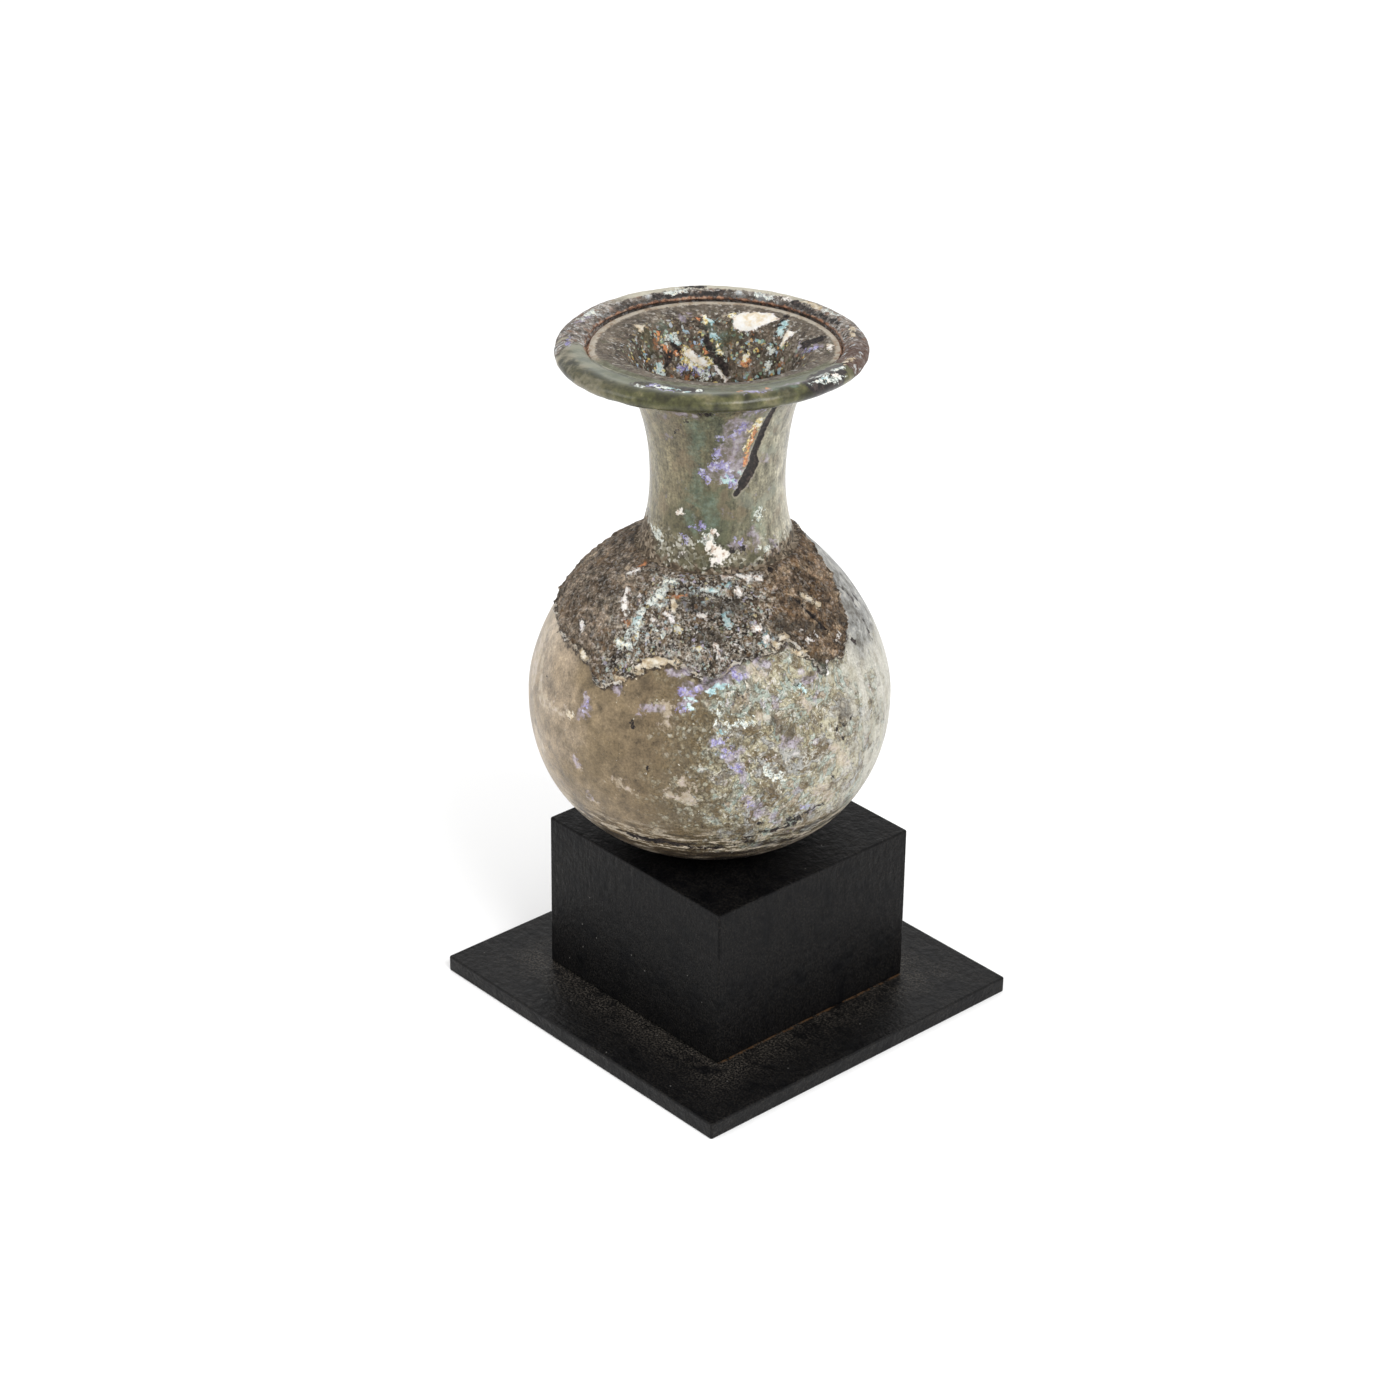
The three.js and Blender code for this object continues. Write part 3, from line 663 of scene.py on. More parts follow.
class Coat:
    """One material, built up by short calls. Sizes in it are millimetres."""

    def __init__(self, name):
        self.material = bpy.data.materials.new(name)
        self.material.use_nodes = True
        self.tree = self.material.node_tree
        self.tree.nodes.clear()
        self.shader = self.node("BsdfPrincipled")
        self.node("OutputMaterial", {"Surface": self.shader.outputs["BSDF"]})
        self.colour = None
        in_metres = self.node("TexCoord").outputs["Object"]
        self.place = self.stretched(in_metres, (1 / MM, 1 / MM, 1 / MM))

    def feed(self, socket, value):
        if hasattr(value, "is_output"):
            self.tree.links.new(value, socket)
        else:
            socket.default_value = value

    def node(self, kind, inputs=None):
        """A new shader node, with what goes into it."""
        node = self.tree.nodes.new("ShaderNode" + kind)
        for name, value in (inputs or {}).items():
            self.feed(node.inputs[name], value)
        return node

    def stretched(self, vector, scale):
        return self.node("Mapping", {"Vector": vector, "Scale": scale}).outputs["Vector"]

    def mark(self, name):
        node = self.node("Attribute")
        node.attribute_name = name
        return node.outputs["Fac"]

    def math(self, kind, first, second=0.0, third=0.0):
        node = self.node("Math", {0: first, 1: second, 2: third})
        node.operation = kind
        return node.outputs[0]

    def times(self, first, *others):
        for other in others:
            first = self.math('MULTIPLY', first, other)
        return first

    def plus(self, first, second):
        return self.math('ADD', first, second)

    def centred(self, value, spread):
        """A noise value spread about 0, for moving an edge to and fro."""
        return self.math('MULTIPLY_ADD', value, spread, -spread / 2)

    def noise(self, size, detail, rough, warp, at):
        return self.node("TexNoise", {
            "Vector": at or self.place, "Scale": 1.0 / size, "Detail": detail,
            "Roughness": rough, "Distortion": warp})

    def grain(self, size, detail=2.0, rough=0.5, warp=0.0, at=None):
        """Soft noise of about 0 to 1 with bumps of the given size."""
        return self.noise(size, detail, rough, warp, at).outputs["Fac"]

    def rough_noise(self, size, rough=0.68, warp=0.0, at=None):
        """Noise with detail down to the finest grain, for ragged edges."""
        return self.grain(size, 8.0, rough, warp, at)

    def wandered(self, size, amount):
        """The coordinates, moved about by noise so that edges wander."""
        colour = self.noise(size, 2.0, 0.5, 0.0, None).outputs["Color"]
        shift = self.node("VectorMath")
        shift.operation = 'MULTIPLY_ADD'
        for socket, value in zip(shift.inputs, (colour, (amount, amount, amount), self.place)):
            self.feed(socket, value)
        return shift.outputs["Vector"]

    def cells(self, size, at):
        """Random grains of the given size: distance from each middle, and two random numbers each."""
        node = self.node("TexVoronoi", {"Vector": at, "Scale": 1.0 / size})
        split = self.node("SeparateColor", {"Color": node.outputs["Color"]})
        return node.outputs["Distance"], split.outputs[0], split.outputs[1]

    def scaled(self, value, low, high, to_low, to_high):
        return self.node("MapRange", {
            "Value": value, "From Min": low, "From Max": high, "To Min": to_low, "To Max": to_high})

    def between(self, value, low, high, to_low, to_high):
        return self.scaled(value, low, high, to_low, to_high).outputs["Result"]

    def step(self, value, low, high):
        """0 below low, 1 above high and smooth between. The other way round when high is lower."""
        ends = (low, high, 0.0, 1.0) if low < high else (high, low, 1.0, 0.0)
        node = self.scaled(value, *ends)
        node.interpolation_type = 'SMOOTHSTEP'
        return node.outputs["Result"]

    def spots(self, size, rough, low, high):
        """Ragged spots, where noise of the given size passes from low to high."""
        return self.step(self.rough_noise(size, rough), low, high)

    def ramp(self, value, stops):
        """Colours that follow a value. Each stop is a place and a colour, as seen or as plain paint."""
        node = self.node("ValToRGB", {"Fac": value})
        elements = node.color_ramp.elements
        while len(elements) < len(stops):
            elements.new(0.5)
        for element, (position, *colour) in zip(elements, stops):
            element.position = position
            element.color = tone(*colour) if len(colour) == 3 else colour
        return node.outputs["Color"]

    def mottle(self, size, rough, stops):
        """Colours that follow noise of the given size."""
        return self.ramp(self.rough_noise(size, rough), stops)

    def over(self, base, top, *shares, kind='MIX'):
        """One colour laid over another, by the product of its shares."""
        node = self.node("Mix")
        node.data_type = 'RGBA'
        node.blend_type = kind
        node.clamp_factor = True
        plain = isinstance(top, tuple) and len(top) == 3
        self.feed(node.inputs[0], self.times(*shares))
        self.feed(node.inputs[6], base)
        self.feed(node.inputs[7], tone(*top) if plain else top)
        return node.outputs[2]

    def shaded(self, colour, value, depth, share=1.0):
        """Lighter and darker by a noise value, by up to the given depth of 128."""
        return self.over(colour, self.ramp(value, grey_stops(depth)), share, kind='OVERLAY')

    def lay(self, top, *shares, kind='MIX'):
        """A further layer on the coat's own colour."""
        self.colour = self.over(self.colour, top, *shares, kind=kind)

    def shade(self, value, depth, share=1.0):
        self.colour = self.shaded(self.colour, value, depth, share)

    def layers(self, size, count, rough, warp, at):
        """Flakes in layers: a random number for each, its pale edge and the dark gap beside it, which
        carry a painted highlight and a painted shadow for each step.
        """
        level = self.times(self.grain(size, 5.0, rough, warp, at), count)
        part = self.math('FRACT', level)
        node = self.node("TexWhiteNoise")
        node.noise_dimensions = '1D'
        self.feed(node.inputs["W"], self.math('FLOOR', level))
        return node.outputs["Value"], self.step(part, 0.32, 0.1), self.step(part, 0.8, 0.95)

    def patch(self, name, spread, size, soft, grow=0.0):
        """Where a mark lies, with a ragged edge that wanders by about a third of the spread."""
        noise_value = self.rough_noise(size, 0.7, 0.3)
        wobble = self.math('MULTIPLY_ADD', noise_value, spread, grow - spread / 2)
        return self.step(self.plus(self.mark(name), wobble), -soft, soft)

    def raise_by(self, height, distance, strength, normal=None):
        inputs = {"Strength": strength, "Distance": distance * MM, "Height": height}
        if normal is not None:
            inputs["Normal"] = normal
        return self.node("Bump", inputs).outputs["Normal"]

    def settle(self, roughness, normal=None, specular=0.5):
        self.feed(self.shader.inputs["Base Color"], self.colour)
        self.feed(self.shader.inputs["Roughness"], roughness)
        if normal is not None:
            self.feed(self.shader.inputs["Normal"], normal)
        self.shader.inputs["Specular IOR Level"].default_value = specular
        return self.material


MOSSY = ((0.40, 56, 56, 38), (0.50, 82, 80, 56), (0.60, 104, 98, 72))
MURKY = ((0.40, 34, 31, 29), (0.50, 64, 57, 49), (0.60, 100, 90, 76))


def pearl_marks(coat, stains=MOSSY):
    """The patches that stand on the glass: thin coloured films first and solid flakes last."""
    broken = coat.rough_noise(0.9, 0.7)
    speckle = coat.grain(0.55, 3.0, 0.7)
    dotted = coat.step(speckle, 0.42, 0.50)
    thick = coat.step(broken, 0.38, 0.44)
    films = (
        ("moss", coat.mottle(1.2, 0.68, stains), 9.0, 3.0, 0.9, 0.62, 1.0),
        ("bloom", coat.mottle(1.2, 0.68, [
            (0.38, 176, 158, 136), (0.5, 206, 192, 168), (0.6, 218, 202, 192)]),
         8.0, 2.4, 0.4, 0.6, 1.0),
        ("teal", coat.mottle(0.9, 0.68, [
            (0.38, 70, 92, 80), (0.5, 100, 124, 108), (0.62, 134, 160, 148)]),
         9.0, 2.4, 0.9, 0.44, 1.0),
        ("mauve", coat.mottle(1.3, 0.6, [
            (0.38, 104, 98, 94), (0.46, 146, 136, 142), (0.54, 182, 170, 192),
            (0.62, 208, 202, 212)]),
         7.0, 2.0, 0.32, 0.6, 1.0),
        ("lilac", coat.ramp(broken, [
            (0.4, 122, 112, 160), (0.48, 160, 152, 210), (0.56, 196, 194, 232),
            (0.64, 232, 232, 240)]),
         6.0, 1.3, 0.14, 0.9, dotted),
        ("orange", coat.ramp(speckle, [
            (0.38, 168, 122, 84), (0.48, 222, 140, 96), (0.56, 236, 162, 110),
            (0.66, 214, 204, 138)]),
         5.0, 1.2, 0.15, 0.95, thick),
        ("gold", coat.ramp(broken, [
            (0.38, 150, 136, 84), (0.44, 228, 198, 116), (0.49, 250, 238, 180),
            (0.54, 255, 253, 242)]),
         5.0, 1.2, 0.15, 0.95, thick),
        ("frost", coat.mottle(0.6, 0.78, [
            (0.4, 92, 88, 78), (0.45, 180, 186, 178), (0.49, 224, 236, 230),
            (0.54, 252, 253, 250), (0.61, 236, 228, 184)]),
         7.0, 1.4, 0.12, 0.95, thick),
        ("cyan", coat.ramp(broken, [
            (0.38, 142, 176, 182), (0.48, 184, 220, 222), (0.58, 226, 240, 238)]),
         5.0, 1.0, 0.1, 0.95, 1.0),
    )
    for name, paint, spread, size, soft, share, mask in films:
        coat.lay(paint, coat.patch(name, spread, size, soft), share, mask)
    cream = coat.mottle(1.4, 0.62, [
        (0.36, 168, 146, 118), (0.46, 208, 190, 160), (0.56, 226, 214, 192),
        (0.64, 236, 230, 218)])
    chalk = coat.mottle(1.0, 0.74, [
        (0.36, 150, 128, 112), (0.42, 214, 192, 176), (0.48, 246, 240, 232),
        (0.56, 255, 252, 246), (0.64, 226, 214, 222)])
    for name, paint in (("cream", cream), ("chalk", chalk)):
        coat.lay((58, 48, 40), coat.patch(name, 4.0, 1.2, 0.16, 0.24), 0.5)
        coat.lay(paint, coat.patch(name, 5.0, 1.1, 0.12))


def sooted(coat):
    """Dark gashes, cracks and pits over everything."""
    dark = coat.mottle(0.9, 0.68, [(0.38, 18, 15, 14), (0.52, 40, 33, 31), (0.62, 78, 67, 62)])
    coat.lay(dark, coat.patch("soot", 4.0, 1.1, 0.12))
    shoulder = coat.times(coat.patch("gash", 0.8, 1.2, 0.16, 0.28), 0.5)
    coat.lay((176, 168, 152), shoulder)
    coat.lay(dark, coat.patch("gash", 0.8, 1.2, 0.08))


def crumbled(coat, size):
    """Crumbs of earth on wandering coordinates, with two random numbers each."""
    return coat.cells(size, coat.wandered(1.2 * size, 1.1 * size))[1:]


def body_glass(coat, right, front, height):
    """Khaki glass, granular in its middle, flaking in many colours to the right, pale at its edges:
    partly pale weathering, partly painted light through the glass.
    """
    cloud = coat.grain(9.0, 3.0)
    mist = coat.rough_noise(2.6, 0.62)
    grit = coat.grain(0.42, 4.0, 0.7)
    wander = coat.centred(cloud, 0.5)
    warped_right = coat.plus(right, wander)
    side = coat.between(warped_right, -1.0, 1.0, 0.0, 1.0)
    # Paler towards both ends, at the left and right edges: pale weathering together with painted light
    # coming through the glass.
    glass = coat.ramp(side, [
        (0.0, 202, 186, 166), (0.06, 174, 157, 136), (0.16, 146, 129, 104), (0.32, 129, 112, 88),
        (0.44, 124, 110, 88), (0.54, 134, 124, 103), (0.66, 166, 156, 136), (0.8, 198, 192, 174),
        (0.9, 194, 192, 179), (1.0, 206, 204, 193)])
    calm = coat.step(warped_right, 0.9, 0.4)
    glass = coat.shaded(glass, mist, 30, coat.math('MULTIPLY_ADD', calm, 0.7, 0.3))
    blotch = coat.spots(7.0, 0.6, 0.46, 0.58)
    glass = coat.over(glass, (124, 107, 78), blotch, 0.34)

    grainy = coat.plus(warped_right, coat.centred(mist, 1.4))
    faces_front = coat.step(front, -0.5, 0.1)
    begins = coat.step(grainy, -0.42, 0.02)
    ends = coat.step(grainy, 0.5, 0.2)
    granular = coat.times(begins, ends, faces_front)
    pearly = coat.times(coat.step(grainy, 0.0, 0.2), coat.step(grainy, 0.98, 0.72))
    pearly = coat.times(pearly, coat.step(front, -0.9, -0.2))

    ring, pick, other = coat.cells(0.8, coat.wandered(1.0, 0.9))
    grains = coat.ramp(pick, [
        (0.0, 88, 76, 54), (0.25, 112, 100, 76), (0.5, 132, 122, 98), (0.75, 154, 148, 128),
        (0.92, 184, 186, 170), (1.0, 216, 214, 202)])
    grains = coat.over(grains, (72, 62, 44), coat.step(ring, 0.42, 0.64), 0.7)
    coat.colour = coat.over(glass, grains, granular, 0.62)
    dots = coat.times(coat.step(ring, 0.26, 0.18), coat.step(other, 0.84, 0.88))
    coat.lay((214, 214, 200), dots, granular, 0.8)

    flake_tones = [
        (0.0, 106, 88, 60), (0.12, 164, 142, 114), (0.22, 192, 182, 156), (0.32, 132, 116, 88),
        (0.42, 208, 200, 182), (0.51, 184, 168, 184), (0.58, 176, 196, 190), (0.68, 196, 168, 146),
        (0.78, 142, 130, 104), (0.88, 186, 180, 138), (1.0, 222, 218, 208)]
    bent = coat.wandered(4.0, 3.0)
    flake, edge, gap = coat.layers(6.4, 13.0, 0.56, 0.5, bent)
    coat.lay(coat.ramp(flake, flake_tones), pearly, 0.66)
    small = coat.layers(2.4, 8.0, 0.6, 0.4, bent)[0]
    chosen = coat.times(coat.spots(2.8, 0.66, 0.48, 0.53), pearly)
    coat.lay(coat.ramp(small, flake_tones), chosen, 0.7)
    # Pale flake edges and dark gaps beside them: flaking, with a painted highlight on each step and a
    # painted shadow beside it.
    pale_lit_edges = coat.times(coat.step(mist, 0.44, 0.56), pearly)
    coat.lay((232, 228, 214), edge, pale_lit_edges, 0.7)
    coat.lay((92, 78, 58), gap, pearly, 0.55)
    brown = coat.times(coat.spots(4.2, 0.66, 0.45, 0.42), faces_front)
    coat.lay((112, 94, 64), brown, coat.math('MAXIMUM', pearly, granular), 0.6)
    lilac = coat.times(coat.spots(4.0, 0.72, 0.585, 0.6), pearly)
    coat.lay((188, 176, 204), lilac, 0.45)
    mint = coat.times(coat.spots(3.3, 0.74, 0.6, 0.615), pearly)
    coat.lay((186, 210, 204), mint, 0.6)
    chips = coat.rough_noise(1.0, 0.78)
    coat.lay((240, 237, 228), coat.step(chips, 0.565, 0.585), pearly, 0.75)
    coat.lay((78, 64, 44), coat.step(chips, 0.425, 0.405), pearly, 0.7)

    upright = coat.stretched(coat.place, (1.0, 1.0, 0.2))
    veil = coat.grain(2.6, 4.0, 0.5, 0.3, upright)
    # Pale streaks on the far right: partly weathering, partly painted light coming through the glass.
    far_right = coat.step(warped_right, 0.55, 0.9)
    coat.lay((220, 218, 210), coat.step(veil, 0.47, 0.62), far_right, 0.7)
    coat.lay((192, 190, 172), coat.step(veil, 0.44, 0.34), far_right, 0.5)

    level = coat.stretched(coat.place, (0.22, 0.22, 1.0))
    flaking = coat.rough_noise(1.2, 0.66, 0.3, level)
    low = coat.step(height, 18.5, 11.5)
    shade = coat.times(coat.step(height, 18.0, 6.0), 0.8)
    coat.lay((94, 79, 57), shade)
    coat.lay((214, 202, 184), coat.step(flaking, 0.53, 0.56), low, 0.9)
    coat.lay((46, 39, 34), coat.step(flaking, 0.465, 0.445), low, 0.92)

    # Darker still at the very bottom: painted contact shade where the body sits on the block, together
    # with grime and black crust.
    ragged_height = coat.plus(height, coat.centred(flaking, 8.0))
    grime_and_shade = coat.step(ragged_height, 10.8, 8.6)
    coat.lay((54, 45, 36), grime_and_shade, 0.6)
    dark_foot = coat.step(ragged_height, 7.6, 5.4)
    coat.lay((22, 19, 16), dark_foot, 0.85)

    spread = coat.math('MULTIPLY_ADD', granular, 0.4, 0.4)
    coat.shade(grit, 50, spread)
    coat.lay(GLASS_DIMMING, 1.0, kind='MULTIPLY')
    pits = coat.step(coat.grain(1.3, 3.0, 0.6), 0.29, 0.27)
    coat.lay((66, 54, 42), pits)
    specks = coat.step(coat.grain(0.8, 3.0, 0.7), 0.71, 0.725)
    coat.lay((222, 216, 200), specks)
    step_height = coat.times(coat.math('SUBTRACT', edge, gap), pearly)
    return mist, coat.plus(coat.times(pick, granular), step_height)


def burial_crust(coat, right, front, knobs):
    """Earth on the shoulder: finely pitted on the left, broken in the middle, brown on the right."""
    middle = coat.times(coat.step(right, -0.82, -0.5), coat.step(right, 0.66, 0.36))
    rugged = coat.times(middle, coat.step(front, -0.4, 0.2))
    crumb, other = crumbled(coat, 0.52)
    tone_noise = coat.plus(coat.rough_noise(5.0, 0.64), coat.times(right, -0.05))
    earth = coat.ramp(tone_noise, [
        (0.36, 78, 61, 45), (0.44, 116, 97, 77), (0.5, 144, 128, 110), (0.56, 164, 148, 131),
        (0.64, 188, 172, 150)])
    brown = coat.step(right, 0.25, 0.6)
    browns = coat.mottle(2.6, 0.62, [
        (0.38, 108, 78, 50), (0.48, 144, 111, 78), (0.56, 168, 138, 104), (0.64, 198, 174, 142)])
    earth = coat.over(earth, browns, brown, 0.7)
    plate, plate_edge, plate_gap = coat.layers(8.0, 8.0, 0.6, 0.7, coat.wandered(3.0, 2.0))
    plates = coat.ramp(plate, [
        (0.0, 70, 54, 38), (0.25, 122, 102, 80), (0.5, 152, 136, 116), (0.75, 108, 90, 74),
        (1.0, 172, 154, 130)])
    soil = coat.over(earth, plates, 0.5)
    soil = coat.shaded(soil, coat.grain(2.4, 4.0, 0.6), 46)
    # Lighter on the crust's knobs and darker between them, from the same noise that raises it: painted
    # light and shade of the relief.
    soil = coat.shaded(soil, knobs, 56)
    crumbs = coat.ramp(crumb, [
        (0.0, 10, 10, 11), (0.22, 48, 42, 36), (0.45, 100, 87, 73), (0.64, 146, 131, 112),
        (0.8, 204, 192, 174), (0.9, 250, 245, 236), (1.0, 255, 254, 252)])
    soil = coat.over(soil, crumbs, coat.between(rugged, 0.0, 1.0, 0.18, 0.6))
    soil = coat.shaded(soil, coat.grain(0.4, 4.0, 0.7), 52)
    black = coat.times(coat.step(coat.rough_noise(3.6, 0.66, 0.4), 0.455, 0.42), rugged)
    soil = coat.over(soil, (30, 29, 31), black, 0.62)
    # Pale plate edges and dark gaps beside them: flaking crust, with a painted highlight on each step and
    # a painted shadow beside it.
    soil = coat.over(soil, (214, 206, 190), plate_edge, coat.step(knobs, 0.47, 0.56),
        coat.math('MULTIPLY_ADD', rugged, 0.6, 0.16))
    soil = coat.over(soil, (38, 31, 26), plate_gap, 0.55)
    flakes = coat.times(coat.spots(1.5, 0.78, 0.575, 0.59), rugged)
    pale = coat.mottle(1.4, 0.68, [
        (0.4, 222, 196, 176), (0.46, 240, 236, 230), (0.52, 178, 212, 214), (0.58, 238, 232, 214),
        (0.64, 214, 190, 214)])
    soil = coat.over(soil, pale, flakes, 0.95)
    flecks = coat.rough_noise(0.8, 0.8)
    # White flecks on the broken crust: partly pale flakes, partly painted glints.
    white_flecks_and_glints = coat.times(coat.step(flecks, 0.575, 0.59), rugged)
    soil = coat.over(soil, (252, 247, 238), white_flecks_and_glints, 0.95)
    dark = coat.times(coat.step(flecks, 0.415, 0.4), rugged)
    soil = coat.over(soil, (20, 19, 20), dark, 0.8)
    colours = coat.ramp(other, [
        (0.0, 178, 108, 72), (0.25, 206, 186, 96), (0.5, 150, 196, 204), (0.75, 184, 160, 206),
        (1.0, 150, 176, 110)])
    sparkle = coat.times(coat.step(crumb, 0.9, 0.93), rugged, 0.55)
    soil = coat.over(soil, colours, sparkle)
    ochre = coat.times(coat.spots(3.4, 0.66, 0.57, 0.61), 0.34)
    soil = coat.over(soil, (150, 112, 70), ochre)
    return soil, coat.plus(coat.times(crumb, 0.55), coat.times(plate_edge, 0.35))


def body_finish():
    """Weathered glass below and burial crust above, parted by a ragged border with a pale lip and a
    painted shadow under it.
    """
    coat = Coat("weathered_body_glass")
    right = coat.mark("rightness")
    front = coat.mark("frontness")
    height = coat.mark("height")
    mist, scales = body_glass(coat, right, front, height)
    knobs = coat.rough_noise(1.3, 0.7)
    soil, crumb = burial_crust(coat, right, front, knobs)

    jag = coat.centred(coat.rough_noise(1.0, 0.62), 2.6)
    depth = coat.plus(coat.mark("crust"), jag)
    on_crust = coat.step(depth, -0.05, 0.05)
    lip_width = coat.between(coat.grain(4.0, 3.0), 0.38, 0.62, -0.1, 0.62)
    lip = coat.times(on_crust, coat.step(coat.math('SUBTRACT', depth, lip_width), 0.08, -0.08))
    lip_paint = coat.mottle(1.1, 0.68, [
        (0.38, 186, 164, 138), (0.46, 230, 216, 194), (0.56, 250, 244, 234)])
    # Painted shadow: a dark band just outside the crust's border, under its lip.
    under = coat.times(coat.step(depth, -0.75, -0.15), coat.math('SUBTRACT', 1.0, on_crust))
    behind = coat.times(coat.step(coat.math('SUBTRACT', depth, lip_width), 0.75, 0.1), on_crust)

    coat.lay((56, 44, 35), under, 0.9)
    coat.lay(soil, on_crust)
    coat.lay((44, 36, 30), behind, 0.55)
    coat.lay(lip_paint, lip)
    beyond = coat.plus(height, coat.centred(mist, 12.0))
    beyond = coat.times(coat.step(right, 0.84, 0.94), coat.step(beyond, 40.0, 45.0))
    slates = coat.ramp(coat.rough_noise(2.0, 0.66, 0.4), [
        (0.38, 74, 70, 63), (0.46, 120, 119, 115), (0.54, 146, 147, 146), (0.62, 190, 188, 180)])
    coat.lay(slates, beyond, 0.88, coat.math('SUBTRACT', 1.0, on_crust))
    # Darker along the crease at the neck's foot: painted shade in the crease, with soil gathered in it.
    uneven = coat.centred(knobs, 3.0)
    crease = coat.step(coat.plus(height, uneven), 59.3, 60.3)
    coat.lay((52, 42, 33), crease, 0.7)
    pearl_marks(coat, MURKY)
    sooted(coat)

    rough = coat.between(mist, 0.35, 0.65, 0.3, 0.44)
    rough = coat.plus(rough, coat.times(on_crust, 0.36))
    bare = coat.times(scales, 0.3)
    crusty = coat.plus(crumb, coat.times(knobs, 2.2))
    flat = coat.math('MAXIMUM', coat.mark("chalk"), coat.mark("frost"))
    flat = coat.step(coat.math('MAXIMUM', flat, coat.mark("cream")), 0.3, -0.3)
    crusty = coat.times(crusty, coat.math('MULTIPLY_ADD', flat, 0.75, 0.25))
    relief = coat.plus(coat.times(crusty, on_crust), bare)
    normal = coat.raise_by(relief, 0.45, 1.0)
    normal = coat.raise_by(mist, 0.5, 0.4, normal)
    return coat.settle(rough, normal, 0.22)


def neck_finish():
    """Grey-green glass with upright streaks, iridescent patches and a dark gash, paler at both edges by
    painted reflection of the white surround.
    """
    coat = Coat("weathered_neck_glass")
    right = coat.mark("rightness")
    height = coat.mark("height")
    upright = coat.stretched(coat.place, (1.0, 1.0, 0.16))
    streak = coat.grain(2.2, 5.0, 0.5, 0.3, upright)
    thin = coat.grain(0.5, 4.0, 0.6, 0.0, upright)
    mist = coat.rough_noise(2.4, 0.62)
    grit = coat.grain(0.5, 4.0, 0.7)
    wander = coat.centred(streak, 0.6)
    side = coat.between(coat.plus(right, wander), -1.0, 1.0, 0.0, 1.0)
    # Paler towards the left and right edges: painted reflection of the white surround, with painted light
    # through the glass at the right.
    glass = coat.ramp(side, [
        (0.0, 152, 145, 122), (0.1, 138, 130, 105), (0.24, 130, 121, 97), (0.38, 114, 108, 83),
        (0.48, 100, 103, 82), (0.58, 110, 107, 84), (0.74, 134, 129, 108), (0.88, 156, 152, 133),
        (1.0, 184, 179, 162)])
    coat.colour = coat.shaded(glass, streak, 16)
    coat.shade(thin, 20)
    coat.shade(mist, 26)
    coat.shade(grit, 30)
    shadowed = coat.times(coat.step(mist, 0.44, 0.56), coat.step(height, 82.0, 70.0))
    in_middle = coat.times(coat.step(right, -0.85, -0.4), coat.step(right, 0.55, 0.1))
    mossy = coat.times(shadowed, in_middle)
    coat.lay((84, 88, 66), mossy, 0.55)
    blush = coat.spots(4.0, 0.6, 0.52, 0.6)
    coat.lay((146, 126, 102), blush, 0.34)
    bloom = coat.times(coat.spots(5.0, 0.62, 0.52, 0.6), coat.step(right, 0.1, 0.6))
    coat.lay((160, 166, 152), bloom, 0.45)
    foot = coat.plus(height, coat.centred(coat.rough_noise(3.0, 0.7), 20.0))
    foot = coat.plus(foot, coat.times(right, 1.6))
    silt = coat.step(foot, 65.0, 63.4)
    crumb = crumbled(coat, 0.55)[0]
    silts = coat.ramp(crumb, [
        (0.0, 40, 38, 28), (0.3, 84, 78, 58), (0.6, 132, 126, 106), (0.85, 180, 178, 164),
        (1.0, 236, 234, 226)])
    coat.lay(silts, silt, 0.66)
    lilac = coat.times(coat.spots(3.6, 0.74, 0.61, 0.63), 0.4)
    coat.lay((160, 152, 176), lilac)
    pits = coat.step(coat.grain(1.1, 3.0, 0.6), 0.285, 0.265)
    coat.lay((50, 50, 36), pits)
    pearl_marks(coat)
    sooted(coat)
    coat.lay(GLASS_DIMMING, 1.0, kind='MULTIPLY')
    uneven = coat.centred(mist, 7.0)
    climb = coat.times(coat.step(right, -0.66, -1.0), 4.8)
    climb = coat.plus(climb, coat.times(coat.step(right, 0.5, 1.0), 1.8))
    uneven = coat.math('SUBTRACT', uneven, climb)
    crease = coat.step(coat.plus(height, uneven), 60.9, 60.3)
    crusts = coat.ramp(crumb, [(0.0, 40, 32, 24), (0.5, 92, 76, 60), (1.0, 150, 134, 114)])
    coat.lay(crusts, crease, 0.85)
    rough = coat.between(streak, 0.35, 0.65, 0.24, 0.36)
    rough = coat.plus(rough, coat.times(crease, 0.5))
    normal = coat.raise_by(thin, 0.12, 0.4)
    normal = coat.raise_by(mist, 0.4, 0.4, normal)
    return coat.settle(rough, normal, 0.3)


